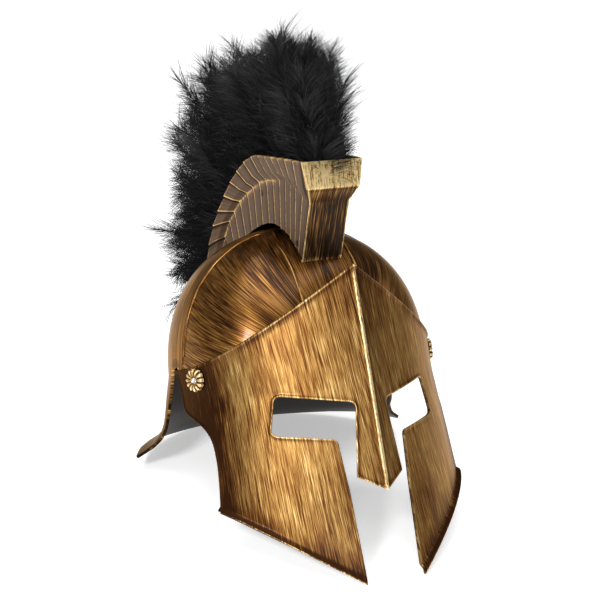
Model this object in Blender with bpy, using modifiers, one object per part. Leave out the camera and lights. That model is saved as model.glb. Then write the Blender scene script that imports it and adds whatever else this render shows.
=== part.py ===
"""Spartan helmet: a skull shell with a flared neck guard, a face mask riveted on at the
temples by two rosettes, and a crest holder on the crown that carries a feather plume.

It is drawn upright, as worn, with its origin midway between the two rivets: X runs to the
wearer's left, Y to the back and Z up. A rest empty then tips it back, as it lies by itself
on its two cheek tips and the back of its neck guard.
"""
import math

import bmesh
import bpy
import numpy as np
from mathutils import Matrix, Vector
from mathutils.bvhtree import BVHTree

MM = 0.001

# Walls and fits
SHELL_WALL = 2.4 * MM
MASK_WALL = 2.6 * MM
CREST_WALL = 2.0 * MM
FIT = 0.3 * MM

# Dome of the skull shell, measured from the rivets' axis
DOME_HALF_WIDTH = 105.7 * MM
DOME_HEIGHT = 111.0 * MM
DOME_CENTRE_Y = 38.5 * MM
DOME_FRONT_REACH = 87.0 * MM
DOME_REAR_REACH = 101.0 * MM
FRONT_SQUARENESS = 2.5
REAR_ROUNDNESS = 1.92
CROWN_ROUNDNESS = 2.2
SHELL_EDGE_DROP = 10.0 * MM

# Neck guard
TIP_DEPTH = 65.4 * MM
TIP_FLARE = 33.0 * MM
TIP_Y = 96.0 * MM
GUARD_FRONT_Y = 59.0 * MM
EAR_ARCH_TOP = 8.0 * MM
EAR_ARCH_Y = 44.0 * MM
GUARD_RIM = [
    # (turn from the front in degrees, share of the tip's depth, share of the tip's flare)
    (90, 1.000, 0.16),
    (100, 1.000, 0.40),
    (108, 1.000, 0.85),
    (114, 0.980, 1.00),
    (124, 0.905, 0.97),
    (132, 0.855, 0.90),
    (142, 0.825, 0.80),
    (160, 0.795, 0.62),
    (180, 0.772, 0.50),
]
GUARD_PROFILE = [
    # (share of the depth, share of the flare)
    (0.00, 0.00),
    (0.14, 0.06),
    (0.30, 0.12),
    (0.48, 0.18),
    (0.64, 0.25),
    (0.78, 0.38),
    (0.90, 0.62),
    (1.00, 1.00),
]

# Moulded ribs on the dome
RIB_X = 28.0 * MM
RIB_TURN_Y = 25.0 * MM
RIB_RADIUS = 1.5 * MM
RIB_CORNER = 7.0 * MM
RIB_END_GAP = 1.0 * MM

# Face mask: its plan is half width times (1 - t ** MASK_PROW), t running from rear to ridge
# It clears the dome by a gap at the temples and stands ahead of its front
TEMPLE_GAP = 1.2 * MM
MASK_HALF_WIDTH = DOME_HALF_WIDTH + MASK_WALL + TEMPLE_GAP
MASK_REAR_SET = 3.5 * MM
MASK_REAR_Y = DOME_CENTRE_Y - MASK_REAR_SET
MASK_STAND_OFF = 35.0 * MM
MASK_LENGTH = DOME_FRONT_REACH + MASK_STAND_OFF
MASK_PROW = 2.5
MASK_RAKE = 0.135
MASK_RAKE_Z = -25.0 * MM
CHEEK_SPREAD = 0.105
CHEEK_SPREAD_Z = -14.0 * MM
PEAK_Z = 79.5 * MM
MASK_TOP_REAR_Z = 7.5 * MM
CHEEK_FRONT_Z = -152.5 * MM
CHEEK_REAR_Z = -93.0 * MM
CHEEK_REAR_X = 103.0 * MM
CHEEK_GAP_HALF = 24.0 * MM
CHEEK_MID_HALF = 26.0 * MM
CHEEK_TOP_HALF = 29.0 * MM
NASAL_TOP_HALF = 13.0 * MM
NASAL_LOW_HALF = 20.0 * MM
NASAL_LOW_Z = -80.8 * MM
NASAL_TIP_Z = -92.5 * MM
NASAL_CORNER = 1.0 * MM
MIDLINE_LAP = 1.0 * MM
EYE_TOP_Z = -15.4 * MM
EYE_LOW_Z = -45.0 * MM
EYE_OUTER_TOP = 65.0 * MM
EYE_OUTER_LOW = 71.0 * MM
EYE_FALL_TOP = 9.4 * MM
EYE_FALL_LOW = 6.3 * MM
EYE_CORNER = 5.0 * MM
FLANGE_WIDTH = 3.6 * MM
FLANGE_DROP_FRONT = 7.0 * MM
FLANGE_DROP_REAR = 2.6 * MM
MASK_REAR_EDGE = [
    # (share of the mask's length behind the ridge, height as a share of the cheek's depth)
    (1.020, 0.110),
    (0.925, -0.080),
    (0.885, -0.262),
    (0.840, -0.292),
    (0.700, -0.375),
    (0.635, -0.450),
    (0.598, -0.530),
    (0.562, -0.700),
    (0.538, -0.900),
    (0.515, -1.150),
]

# Rosettes
ROSETTE_RADIUS = 9.2 * MM
ROSETTE_HEIGHT = 4.6 * MM
ROSETTE_PETALS = 12
ROSETTE_BOSS_RADIUS = 2.6 * MM
ROSETTE_Z = 0.0 * MM
ROSETTE_Y = 4.0 * MM
SHANK_RADIUS = 2.5 * MM
SHANK_LENGTH = 9.0 * MM

# Crest holder: it spans the dome, past its front by an overhang and past its rear by a tail
CREST_OVERHANG = 6.2 * MM
CREST_TAIL = 4.0 * MM
CREST_FRONT_Y = DOME_CENTRE_Y - DOME_FRONT_REACH - CREST_OVERHANG
CREST_LENGTH = DOME_FRONT_REACH + DOME_REAR_REACH + CREST_TAIL
CREST_RISE = 60.0 * MM
CREST_FOOT_HALF = 17.4 * MM
CREST_NECK_HALF = 17.6 * MM
CREST_LIP_HALF = 22.7 * MM
CREST_RIM_HALF = 27.0 * MM
CREST_SINK = 8.0 * MM
ARCH_GAP = 5.0 * MM
ARCH_REAR_SHARE = 0.655
SLOT_WIDTH = 1.4 * MM
SLOT_HEIGHT = 4.6 * MM
WEB_THICKNESS = 2.4 * MM
CREST_STATIONS = [
    # Each point: (share of the crest's length from its front, share of its rise over the dome)
    # (foot, neck, rim)
    ((0.166, -0.469), (0.051, 0.290), (0.000, 0.816)),
    ((0.215, -0.356), (0.155, 0.510), (0.140, 0.887)),
    ((0.290, -0.177), (0.245, 0.619), (0.270, 0.942)),
    ((0.400, -0.064), (0.385, 0.656), (0.415, 1.000)),
    ((0.470, -0.055), (0.462, 0.647), (0.500, 0.953)),
    ((0.540, -0.083), (0.540, 0.572), (0.593, 0.823)),
    ((0.600, -0.130), (0.613, 0.501), (0.680, 0.661)),
    ((0.660, -0.205), (0.690, 0.402), (0.748, 0.491)),
    ((0.720, -0.300), (0.750, 0.275), (0.820, 0.298)),
    ((0.780, -0.413), (0.814, 0.134), (0.892, 0.075)),
    ((0.830, -0.544), (0.884, -0.125), (0.960, -0.234)),
    ((0.860, -0.676), (0.922, -0.394), (1.000, -0.544)),
]
CREST_SLOTS = [
    # (share of the crest's length, share of its rise)
    (0.464, 0.491),
    (0.163, 0.426),
    (0.186, -0.210),
]

# Plume
PLUME_LENGTH = 122.0 * MM
PLUME_ROWS = 3
PLUME_SPREAD_DEG = 10.5
LOCK_RADIUS = 16.0 * MM
INNER_RADIUS = 17.0 * MM
INNER_SHARE = 0.68
BACKING_HEIGHT = 9.0 * MM
BACKING_SIDE_GAP = 1.0 * MM
PLUME_LOCKS = [
    # (share of the way along the crest, lean to the back in degrees, share of the length)
    (0.07, 2.0, 0.72),
    (0.18, 0.0, 0.88),
    (0.30, -1.0, 1.00),
    (0.41, 6.0, 0.95),
    (0.51, 16.0, 1.02),
    (0.61, 26.0, 1.10),
    (0.71, 38.0, 1.06),
    (0.80, 52.0, 0.98),
    (0.88, 70.0, 0.80),
    (0.94, 90.0, 0.74),
    (0.975, 112.0, 0.80),
]

# Stretch of the neck guard's rim, either side of the middle, that the helmet rests on
NECK_REST_HALF = 30.0 * MM

# Mesh density
SHELL_COLUMNS = 20
DOME_BANDS = 11
MASK_COLUMNS = 22
MASK_BANDS = 10


def clear_scene():
    for item in list(bpy.data.objects):
        bpy.data.objects.remove(item, do_unlink=True)


def new_collection(name):
    made = bpy.data.collections.new(name)
    bpy.context.scene.collection.children.link(made)
    return made


def material(name, colour, roughness, metallic):
    made = bpy.data.materials.new(name)
    made.use_nodes = True
    shader = made.node_tree.nodes["Principled BSDF"]
    shader.inputs["Base Color"].default_value = (*colour, 1.0)
    shader.inputs["Roughness"].default_value = roughness
    shader.inputs["Metallic"].default_value = metallic
    made.diffuse_color = (*colour, 1.0)
    return made


def loft(rows, closed=False):
    """A mesh of quads through equally long rows of points."""
    mesh = bmesh.new()
    lines = [[mesh.verts.new(point) for point in row] for row in rows]
    count = len(lines[0])
    last = count if closed else count - 1
    for upper, lower in zip(lines, lines[1:]):
        for k in range(last):
            n = (k + 1) % count
            mesh.faces.new((upper[k], upper[n], lower[n], lower[k]))
    return mesh


def capped_loft(rows, name, collection):
    """A closed cutter or bar through rings of points, its two ends filled."""
    mesh = loft(rows, closed=True)
    mesh.verts.ensure_lookup_table()
    count = len(rows[0])
    mesh.faces.new([mesh.verts[k] for k in range(count)])
    mesh.faces.new([mesh.verts[len(mesh.verts) - count + k] for k in range(count)])
    made = add_mesh(mesh, name, collection)
    as_cutter(made)
    return made


def add_mesh(mesh, name, collection, join_distance=0.00001):
    """An object from a bmesh, with doubled points joined and its faces turned out."""
    bmesh.ops.remove_doubles(mesh, verts=mesh.verts, dist=join_distance)
    bmesh.ops.recalc_face_normals(mesh, faces=mesh.faces)
    data = bpy.data.meshes.new(name)
    mesh.to_mesh(data)
    mesh.free()
    made = bpy.data.objects.new(name, data)
    collection.objects.link(made)
    return made


def turn_outward(item, inside):
    """Turns an open sheet's faces so that they look away from a point inside it."""
    mesh = bmesh.new()
    mesh.from_mesh(item.data)
    outward = sum((face.calc_center_median() - inside).dot(face.normal) for face in mesh.faces)
    if outward < 0.0:
        bmesh.ops.reverse_faces(mesh, faces=mesh.faces)
    mesh.to_mesh(item.data)
    mesh.free()


def add_modifier(item, kind, **settings):
    made = item.modifiers.new(kind.title(), kind)
    for key, value in settings.items():
        setattr(made, key, value)
    return made


def thicken(item, wall, margin=0.0):
    """Gives a sheet its wall on the inner side, and a margin past both faces for a cutter."""
    depth = wall + 2.0 * margin
    add_modifier(item, "SOLIDIFY", thickness=depth, offset=2.0 * margin / depth - 1.0,
                 use_even_offset=True, thickness_clamp=0.0)


def mirror_across_x(item):
    add_modifier(item, "MIRROR", use_axis=(True, False, False), use_clip=True,
                 merge_threshold=0.00005)


def combine(item, other, operation):
    add_modifier(item, "BOOLEAN", operation=operation, object=other, solver="EXACT")


def as_cutter(item):
    item.display_type = "WIRE"
    item.hide_render = True


def as_part(item):
    item.display_type = "TEXTURED"
    item.hide_render = False


def settle(item):
    """The object's evaluated mesh becomes its own mesh, and its modifiers go."""
    graph = bpy.context.evaluated_depsgraph_get()
    baked = bpy.data.meshes.new_from_object(item.evaluated_get(graph))
    item.modifiers.clear()
    item.data = baked


def keep_outer_skin(item):
    """Drops the skins of hollows that joined pieces have closed in, which nothing reaches."""
    mesh = bmesh.new()
    mesh.from_mesh(item.data)
    waiting = set(mesh.faces)
    skins = []
    while waiting:
        skin = set()
        edge_of_search = [waiting.pop()]
        while edge_of_search:
            face = edge_of_search.pop()
            skin.add(face)
            for edge in face.edges:
                for neighbour in edge.link_faces:
                    if neighbour in waiting:
                        waiting.discard(neighbour)
                        edge_of_search.append(neighbour)
        skins.append(skin)
    outer = max(skins, key=len)
    for skin in skins:
        if skin is not outer:
            bmesh.ops.delete(mesh, geom=list(skin), context="FACES")
    mesh.to_mesh(item.data)
    mesh.free()


def outline_prism(points, axis, low, high, name, collection):
    """A closed outline, drawn across one axis, pushed through from low to high along it."""
    mesh = bmesh.new()
    ends = []
    for place in (low, high):
        if axis == "X":
            ends.append([mesh.verts.new((place, a, b)) for a, b in points])
        else:
            ends.append([mesh.verts.new((a, place, b)) for a, b in points])
    mesh.faces.new(ends[0])
    mesh.faces.new(list(reversed(ends[1])))
    count = len(points)
    for k in range(count):
        n = (k + 1) % count
        mesh.faces.new((ends[0][k], ends[1][k], ends[1][n], ends[0][n]))
    made = add_mesh(mesh, name, collection)
    as_cutter(made)
    return made


def rounded_outline(corners, steps=4):
    """Corners given as (a, b, radius) become an outline whose corners are arcs."""
    outline = []
    count = len(corners)
    for k in range(count):
        here = Vector(corners[k][:2])
        before = Vector(corners[k - 1][:2]) - here
        after = Vector(corners[(k + 1) % count][:2]) - here
        radius = corners[k][2]
        if radius <= 0.0:
            outline.append(tuple(here))
            continue
        half = before.angle(after) / 2.0
        reach = radius / math.tan(half)
        start = here + before.normalized() * reach
        end = here + after.normalized() * reach
        for step in range(steps + 1):
            share = step / steps
            near = start.lerp(here, share)
            far = here.lerp(end, share)
            outline.append(tuple(near.lerp(far, share)))
    return outline


# Skull shell

def dome_half(z):
    """Half width and reach of the dome at a height, as a share of those at its foot."""
    level = min(1.0, max(0.0, z / DOME_HEIGHT))
    return (1.0 - level ** CROWN_ROUNDNESS) ** (1.0 / CROWN_ROUNDNESS)


def dome_point(turn, z, grow=0.0):
    """A point on the dome: turn 0 looks forward, 90 degrees to the side and 180 back."""
    share = dome_half(z)
    width = (DOME_HALF_WIDTH + grow) * share
    forward = turn < math.pi / 2.0
    reach = ((DOME_FRONT_REACH if forward else DOME_REAR_REACH) + grow) * share
    power = 2.0 / (FRONT_SQUARENESS if forward else REAR_ROUNDNESS)
    x = width * math.sin(turn) ** power
    y = reach * abs(math.cos(turn)) ** power
    return Vector((x, DOME_CENTRE_Y - y if forward else DOME_CENTRE_Y + y, z))


def dome_top_z(y):
    """Height of the dome over a place on its middle line."""
    reach = DOME_FRONT_REACH if y < DOME_CENTRE_Y else DOME_REAR_REACH
    share = min(1.0, abs(y - DOME_CENTRE_Y) / reach)
    return DOME_HEIGHT * (1.0 - share ** CROWN_ROUNDNESS) ** (1.0 / CROWN_ROUNDNESS)


def guard_rim(turn):
    """Depth and flare of the neck guard's rim at a turn."""
    degrees = math.degrees(turn)
    turns = [row[0] for row in GUARD_RIM]
    depth = TIP_DEPTH * float(np.interp(degrees, turns, [row[1] for row in GUARD_RIM]))
    flare = TIP_FLARE * float(np.interp(degrees, turns, [row[2] for row in GUARD_RIM]))
    return depth, flare


def outward(turn):
    """The level direction that the dome's foot faces at a turn."""
    ahead = dome_point(min(math.pi, turn + 0.01), 0.0)
    behind = dome_point(max(0.0, turn - 0.01), 0.0)
    along = ahead - behind
    return Vector((along.y, -along.x, 0.0)).normalized()


def guard_point(turn, depth_share, flare_share):
    depth, flare = guard_rim(turn)
    level = dome_point(turn, 0.0) + outward(turn) * flare * flare_share
    return level - Vector((0.0, 0.0, depth * depth_share))


def column_turns():
    return [math.pi * k / SHELL_COLUMNS for k in range(SHELL_COLUMNS + 1)]


def dome_rows(grow=0.0):
    rows = []
    for band in range(DOME_BANDS + 1):
        rise = math.radians(90.0 * (1.0 - band / DOME_BANDS))
        z = (DOME_HEIGHT + grow) * math.sin(rise)
        level = z * DOME_HEIGHT / (DOME_HEIGHT + grow)
        lift = Vector((0.0, 0.0, z - level))
        rows.append([dome_point(turn, level, grow) + lift for turn in column_turns()])
    return rows


def dome_form(grow, name, collection):
    """A closed copy of the dome, standing out by grow, for cutting what sits on it."""
    rows = dome_rows(grow)
    floor = [Vector((point.x, point.y, -SHELL_EDGE_DROP)) for point in rows[-1]]
    middle = [Vector((0.0, DOME_CENTRE_Y, -SHELL_EDGE_DROP)) for _ in rows[-1]]
    made = add_mesh(loft(rows + [floor, middle]), name, collection)
    mirror_across_x(made)
    as_cutter(made)
    return made


def rib_path(surface):
    """The moulded rib of one side: up beside the crest, round a corner, down to the ear."""
    start_y = DOME_CENTRE_Y - DOME_FRONT_REACH * 0.985
    stop_y = RIB_TURN_Y - RIB_CORNER
    plan = [(RIB_X, start_y + step * (stop_y - start_y) / 10) for step in range(11)]
    corner = Vector((RIB_X, RIB_TURN_Y))
    for step in range(1, 5):
        share = step / 4
        start = corner + Vector((0.0, -RIB_CORNER)) * (1.0 - share)
        plan.append(tuple(start.lerp(corner + Vector((RIB_CORNER, 0.0)), share)))
    inner_x = RIB_X + RIB_CORNER
    for step in range(1, 13):
        share = math.sin(math.radians(90.0 * step / 12))
        plan.append((inner_x + share * (DOME_HALF_WIDTH - RIB_END_GAP - inner_x), RIB_TURN_Y))
    points = []
    for x, y in plan:
        hit = surface.ray_cast(Vector((x, y, DOME_HEIGHT * 2.0)), Vector((0.0, 0.0, -1.0)))
        if hit[0] is not None:
            points.append(hit[0])
    return points


def sheet_tree(item):
    graph = bpy.context.evaluated_depsgraph_get()
    return BVHTree.FromObject(item, graph)


def tube(points, radius, name, collection):
    """A round bar along points, as a closed mesh."""
    curve = bpy.data.curves.new(name, "CURVE")
    curve.dimensions = "3D"
    curve.bevel_depth = radius
    curve.bevel_resolution = 1
    curve.use_fill_caps = True
    spline = curve.splines.new("POLY")
    spline.points.add(len(points) - 1)
    for knot, point in zip(spline.points, points):
        knot.co = (*point, 1.0)
    holder = bpy.data.objects.new(name, curve)
    collection.objects.link(holder)
    graph = bpy.context.evaluated_depsgraph_get()
    data = bpy.data.meshes.new_from_object(holder.evaluated_get(graph))
    bpy.data.objects.remove(holder, do_unlink=True)
    mesh = bmesh.new()
    mesh.from_mesh(data)
    return add_mesh(mesh, name, collection)


def make_skull_shell(parts, cutters):
    rows = dome_rows()
    for depth_share, flare_share in GUARD_PROFILE[1:]:
        rows.append([guard_point(turn, depth_share, flare_share) for turn in column_turns()])
    shell = add_mesh(loft(rows), "skull_shell", parts)
    turn_outward(shell, Vector((0.0, DOME_CENTRE_Y, 0.0)))
    tree = sheet_tree(shell)
    mirror_across_x(shell)
    thicken(shell, SHELL_WALL)

    arch_half = GUARD_FRONT_Y - EAR_ARCH_Y
    far = TIP_DEPTH * 1.6
    lower_edge = rounded_outline([
        (-DOME_FRONT_REACH * 1.5, -SHELL_EDGE_DROP, 0.0),
        (EAR_ARCH_Y - arch_half, -SHELL_EDGE_DROP, arch_half * 0.20),
        (EAR_ARCH_Y - arch_half * 0.75, EAR_ARCH_TOP, arch_half * 0.47),
        (EAR_ARCH_Y + arch_half * 0.45, EAR_ARCH_TOP, arch_half * 0.53),
        (GUARD_FRONT_Y + arch_half * 0.20, -TIP_DEPTH * 0.28, arch_half * 0.80),
        (GUARD_FRONT_Y + arch_half * 0.87, -TIP_DEPTH * 0.67, arch_half * 1.33),
        (TIP_Y, -TIP_DEPTH * 1.01, 0.0),
        (TIP_Y, -far, 0.0),
        (-DOME_FRONT_REACH * 1.5, -far, 0.0),
    ])
    wide = DOME_HALF_WIDTH * 1.6
    cutter = outline_prism(lower_edge, "X", -wide, wide, "shell_lower_edge", cutters)
    combine(shell, cutter, "DIFFERENCE")
    for side in (1.0, -1.0):
        path = [Vector((point.x * side, point.y, point.z)) for point in rib_path(tree)]
        rib = tube(path, RIB_RADIUS, "rib_bar", cutters)
        as_cutter(rib)
        combine(shell, rib, "UNION")
        rivet_hole(shell, side, cutters)
    return shell


# Face mask

def mask_point(t, z):
    """A point on the mask's outer face: t is 0 at its rear line and 1 on its ridge."""
    half = MASK_HALF_WIDTH + CHEEK_SPREAD * max(0.0, CHEEK_SPREAD_Z - z)
    x = half * (1.0 - t ** MASK_PROW)
    y = MASK_REAR_Y - MASK_LENGTH * t + MASK_RAKE * (z - MASK_RAKE_Z)
    return Vector((x, y, z))


def mask_outward(t, z):
    along = mask_point(max(0.0, t - 0.01), z) - mask_point(min(1.0, t + 0.01), z)
    return Vector((along.y, -along.x, 0.0)).normalized()


def mask_top_z(t):
    """The upper edge falls from the peak to the temple, straight with a slight bow."""
    share = 1.0 - t ** MASK_PROW
    return PEAK_Z + (MASK_TOP_REAR_Z - PEAK_Z) * share


def mask_low_z(t):
    """The line where the cheek's lower edge turns out into its flange."""
    share = (1.0 - t ** MASK_PROW) * MASK_HALF_WIDTH / CHEEK_REAR_X
    front = CHEEK_GAP_HALF / CHEEK_REAR_X
    return CHEEK_FRONT_Z + (CHEEK_REAR_Z - CHEEK_FRONT_Z) * (share - front) / (1.0 - front)


def mask_columns():
    """Even steps across the mask, closer together where it bends back at the temple."""
    return [1.0 - (k / MASK_COLUMNS) ** 0.9 for k in range(MASK_COLUMNS + 1)]


def make_face_mask(parts, cutters):
    rows = []
    for band in range(MASK_BANDS + 1):
        share = band / MASK_BANDS
        rows.append([mask_point(t, mask_top_z(t) + share * (mask_low_z(t) - mask_top_z(t)))
                     for t in mask_columns()])
    flange = []
    for t in mask_columns():
        root = mask_point(t, mask_low_z(t))
        across = 1.0 - t ** MASK_PROW
        drop = FLANGE_DROP_FRONT + across * (FLANGE_DROP_REAR - FLANGE_DROP_FRONT)
        tip = root + mask_outward(t, mask_low_z(t)) * FLANGE_WIDTH
        flange.append(Vector((tip.x if t < 1.0 else 0.0, tip.y, tip.z - drop)))
    rows.append(flange)
    mask = add_mesh(loft(rows), "face_mask", parts)
    turn_outward(mask, Vector((0.0, MASK_REAR_Y, EYE_LOW_Z)))
    mirror_across_x(mask)
    thicken(mask, MASK_WALL)

    depth = CHEEK_REAR_Z
    rear_edge = [(MASK_REAR_Y - MASK_LENGTH * (1.0 - share), -depth * height)
                 for share, height in MASK_REAR_EDGE]
    behind = MASK_REAR_Y + MASK_LENGTH
    rear_edge += [(behind, rear_edge[-1][1]), (behind, rear_edge[0][1])]
    wide = MASK_HALF_WIDTH * 1.6
    cutter = outline_prism(rear_edge, "X", -wide, wide, "mask_rear_edge", cutters)
    combine(mask, cutter, "DIFFERENCE")

    for side in (1.0, -1.0):
        eye = rounded_outline([
            (side * NASAL_TOP_HALF, EYE_TOP_Z - EYE_FALL_TOP, EYE_CORNER),
            (side * EYE_OUTER_TOP, EYE_TOP_Z, EYE_CORNER),
            (side * EYE_OUTER_LOW, EYE_LOW_Z, EYE_CORNER),
            (side * CHEEK_TOP_HALF, EYE_LOW_Z - EYE_FALL_LOW, EYE_CORNER),
            (side * CHEEK_MID_HALF, NASAL_TIP_Z, 0.0),
            (side * CHEEK_GAP_HALF, CHEEK_FRONT_Z, 0.0),
            (side * CHEEK_GAP_HALF, CHEEK_FRONT_Z * 1.2, 0.0),
            (-side * MIDLINE_LAP, CHEEK_FRONT_Z * 1.2, 0.0),
            (-side * MIDLINE_LAP, NASAL_TIP_Z, 0.0),
            (0.0, NASAL_TIP_Z, 0.0),
            (side * NASAL_LOW_HALF, NASAL_LOW_Z, NASAL_CORNER),
        ])
        cutter = outline_prism(eye, "Y", -MASK_LENGTH * 1.3, 0.0, "eye_and_cheek_gap", cutters)
        combine(mask, cutter, "DIFFERENCE")
        rivet_hole(mask, side, cutters)
    return mask


# Rosettes

def rivet_frame(side):
    """Where the rivet's axis leaves the mask's outer face, and which way it points."""
    t = (MASK_REAR_Y - MASK_RAKE * MASK_RAKE_Z - ROSETTE_Y) / MASK_LENGTH
    seat = mask_point(t, ROSETTE_Z)
    axis = mask_outward(t, ROSETTE_Z)
    return Vector((seat.x * side, seat.y, seat.z)), Vector((axis.x * side, axis.y, axis.z))


def rivet_hole(item, side, cutters):
    """A hole for the rosette's shank, which passes the mask and the shell behind it."""
    seat, axis = rivet_frame(side)
    bpy.ops.mesh.primitive_cylinder_add(vertices=16, radius=SHANK_RADIUS + FIT,
                                        depth=SHANK_LENGTH * 2.5, location=seat)
    hole = bpy.context.object
    hole.name = "rivet_hole"
    hole.rotation_mode = "QUATERNION"
    hole.rotation_quaternion = axis.to_track_quat("Z", "Y")
    for linked in list(hole.users_collection):
        linked.objects.unlink(hole)
    cutters.objects.link(hole)
    as_cutter(hole)
    combine(item, hole, "DIFFERENCE")


def make_rosette(side, name, parts):
    """A flower-shaped rivet head: petals round a domed boss, and a shank behind."""
    seat, axis = rivet_frame(side)
    around = ROSETTE_PETALS * 3
    rings = [
        # (radius, height above the seat, depth of the scallop between petals)
        (SHANK_RADIUS, -SHANK_LENGTH, 0.0),
        (SHANK_RADIUS, 0.0, 0.0),
        (ROSETTE_RADIUS * 0.96, 0.0, 0.07),
        (ROSETTE_RADIUS, ROSETTE_HEIGHT * 0.22, 0.09),
        (ROSETTE_RADIUS * 0.80, ROSETTE_HEIGHT * 0.62, 0.05),
        (ROSETTE_BOSS_RADIUS * 1.25, ROSETTE_HEIGHT * 0.52, 0.0),
        (ROSETTE_BOSS_RADIUS, ROSETTE_HEIGHT * 0.80, 0.0),
        (ROSETTE_BOSS_RADIUS * 0.6, ROSETTE_HEIGHT, 0.0),
    ]
    rows = []
    for radius, height, scallop in rings:
        row = []
        for k in range(around):
            angle = 2.0 * math.pi * k / around
            notch = scallop * (1.0 - math.cos(ROSETTE_PETALS * angle)) / 2.0
            reach = radius * (1.0 - notch)
            row.append(Vector((reach * math.cos(angle), reach * math.sin(angle), height)))
        rows.append(row)
    made = capped_loft(rows, name, parts)
    made.rotation_mode = "QUATERNION"
    made.rotation_quaternion = axis.to_track_quat("Z", "Y")
    made.location = seat + axis * FIT * 2.0
    return made


# Crest holder

def crest_yz(point):
    along, rise = point
    return CREST_FRONT_Y + CREST_LENGTH * along, DOME_HEIGHT + CREST_RISE * rise


def crest_levels(station, margin):
    """The levels of a station, foot to rim, as (half width, y, z), its rim past by a margin."""
    foot, neck, rim = (Vector(crest_yz(point)) for point in station)
    foot += (foot - neck).normalized() * CREST_SINK
    lip = neck.lerp(rim, 1.0 / 3.0)
    if station is CREST_STATIONS[0]:
        lip.x = rim.x
    rim += (rim - lip).normalized() * margin
    return [
        (CREST_FOOT_HALF, *foot),
        (CREST_NECK_HALF, *neck),
        (CREST_LIP_HALF, *lip),
        (CREST_RIM_HALF, *rim),
    ]


def crest_walls(name, collection, margin=0.0):
    """The holder's walls: front, sides and rear in one sheet, open at its rim and its foot."""
    stations = [crest_levels(station, margin) for station in CREST_STATIONS]
    front, rear = stations[0], stations[-1]
    rows = []
    for level in (3, 2, 1, 0):
        row = [Vector((0.0, front[level][1], front[level][2]))]
        row += [Vector((half, y, z)) for half, y, z in (station[level] for station in stations)]
        row.append(Vector((0.0, rear[level][1], rear[level][2])))
        rows.append(row)
    walls = add_mesh(loft(rows), name, collection)
    turn_outward(walls, Vector((0.0, *crest_yz((0.4, 0.2)))))
    mirror_across_x(walls)
    thicken(walls, CREST_WALL, margin)
    return walls


def crest_web(name, collection, margin=0.0):
    """The channel's floor, a strip between the walls along the line of their necks."""
    inner = CREST_NECK_HALF - CREST_WALL * 0.5 + margin
    line = [Vector(crest_yz(station[1])) for station in CREST_STATIONS]
    line[0].x += CREST_WALL * 0.5 - margin
    line[-1].x -= CREST_WALL * 0.5 - margin
    rows = []
    for place in line:
        top = place.y + margin
        under = place.y - WEB_THICKNESS
        rows.append([
            Vector((-inner, place.x, top)),
            Vector((inner, place.x, top)),
            Vector((inner, place.x, under)),
            Vector((-inner, place.x, under)),
        ])
    return capped_loft(rows, name, collection)


def make_crest_holder(parts, cutters):
    holder = crest_walls("crest_holder", parts)
    combine(holder, crest_web("crest_web", cutters), "UNION")
    combine(holder, dome_form(FIT, "dome_under_crest", cutters), "DIFFERENCE")
    front_y = crest_yz(CREST_STATIONS[0][0])[0] + CREST_WALL * 1.2
    rear_y = crest_yz((ARCH_REAR_SHARE, 0.0))[0]
    span = rear_y - front_y
    rise_y = front_y + span * 0.25
    arch = rounded_outline([
        (front_y, dome_top_z(front_y) + ARCH_GAP * 0.5, 0.0),
        (rise_y, dome_top_z(rise_y) + ARCH_GAP, span * 0.13),
        (front_y + span * 0.62, DOME_HEIGHT + ARCH_GAP * 1.2, span * 0.13),
        (rear_y, dome_top_z(rear_y), 0.0),
        (rear_y, DOME_HEIGHT * 0.6, 0.0),
        (front_y, DOME_HEIGHT * 0.6, 0.0),
    ])
    wide = CREST_RIM_HALF * 1.5
    combine(holder, outline_prism(arch, "X", -wide, wide, "crest_arch", cutters), "DIFFERENCE")
    for number, slot in enumerate(CREST_SLOTS):
        y, z = crest_yz(slot)
        corners = [
            (y - SLOT_WIDTH / 2, z - SLOT_HEIGHT / 2),
            (y + SLOT_WIDTH / 2, z - SLOT_HEIGHT / 2),
            (y + SLOT_WIDTH / 2, z + SLOT_HEIGHT / 2),
            (y - SLOT_WIDTH / 2, z + SLOT_HEIGHT / 2),
        ]
        cutter = outline_prism(corners, "X", -wide, wide, "slot_%d" % number, cutters)
        combine(holder, cutter, "DIFFERENCE")
    return holder


# Plume

def web_place(share):
    """The middle of the channel's floor at a share of the way along it, and the way up from it."""
    line = [Vector(crest_yz(station[1])) for station in CREST_STATIONS]
    steps = [0.0]
    for before, after in zip(line, line[1:]):
        steps.append(steps[-1] + (after - before).length)
    places = []
    for near in (share - 0.02, share, share + 0.02):
        want = min(1.0, max(0.0, near)) * steps[-1]
        y = float(np.interp(want, steps, [point.x for point in line]))
        z = float(np.interp(want, steps, [point.y for point in line]))
        places.append(Vector((0.0, y, z)))
    ahead = places[2] - places[0]
    return places[1], Vector((0.0, -ahead.z, ahead.y)).normalized()


def lock(base, tip, radius, name, collection):
    """One lock of feathers: a bar that swells from its root and closes to a soft point."""
    profile = [(0.0, 0.40), (0.20, 0.55), (0.42, 0.95), (0.68, 1.0), (0.88, 0.66), (1.0, 0.16)]
    axis = tip - base
    turn = axis.to_track_quat("Z", "Y").to_matrix().to_4x4()
    place = Matrix.Translation(base) @ turn
    sides = 6
    rows = []
    for along, swell in profile:
        row = []
        for k in range(sides):
            angle = 2.0 * math.pi * k / sides
            local = Vector((radius * swell * math.cos(angle), radius * swell * math.sin(angle),
                            along * axis.length))
            row.append(place @ local)
        rows.append(row)
    return capped_loft(rows, name, collection)


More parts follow.
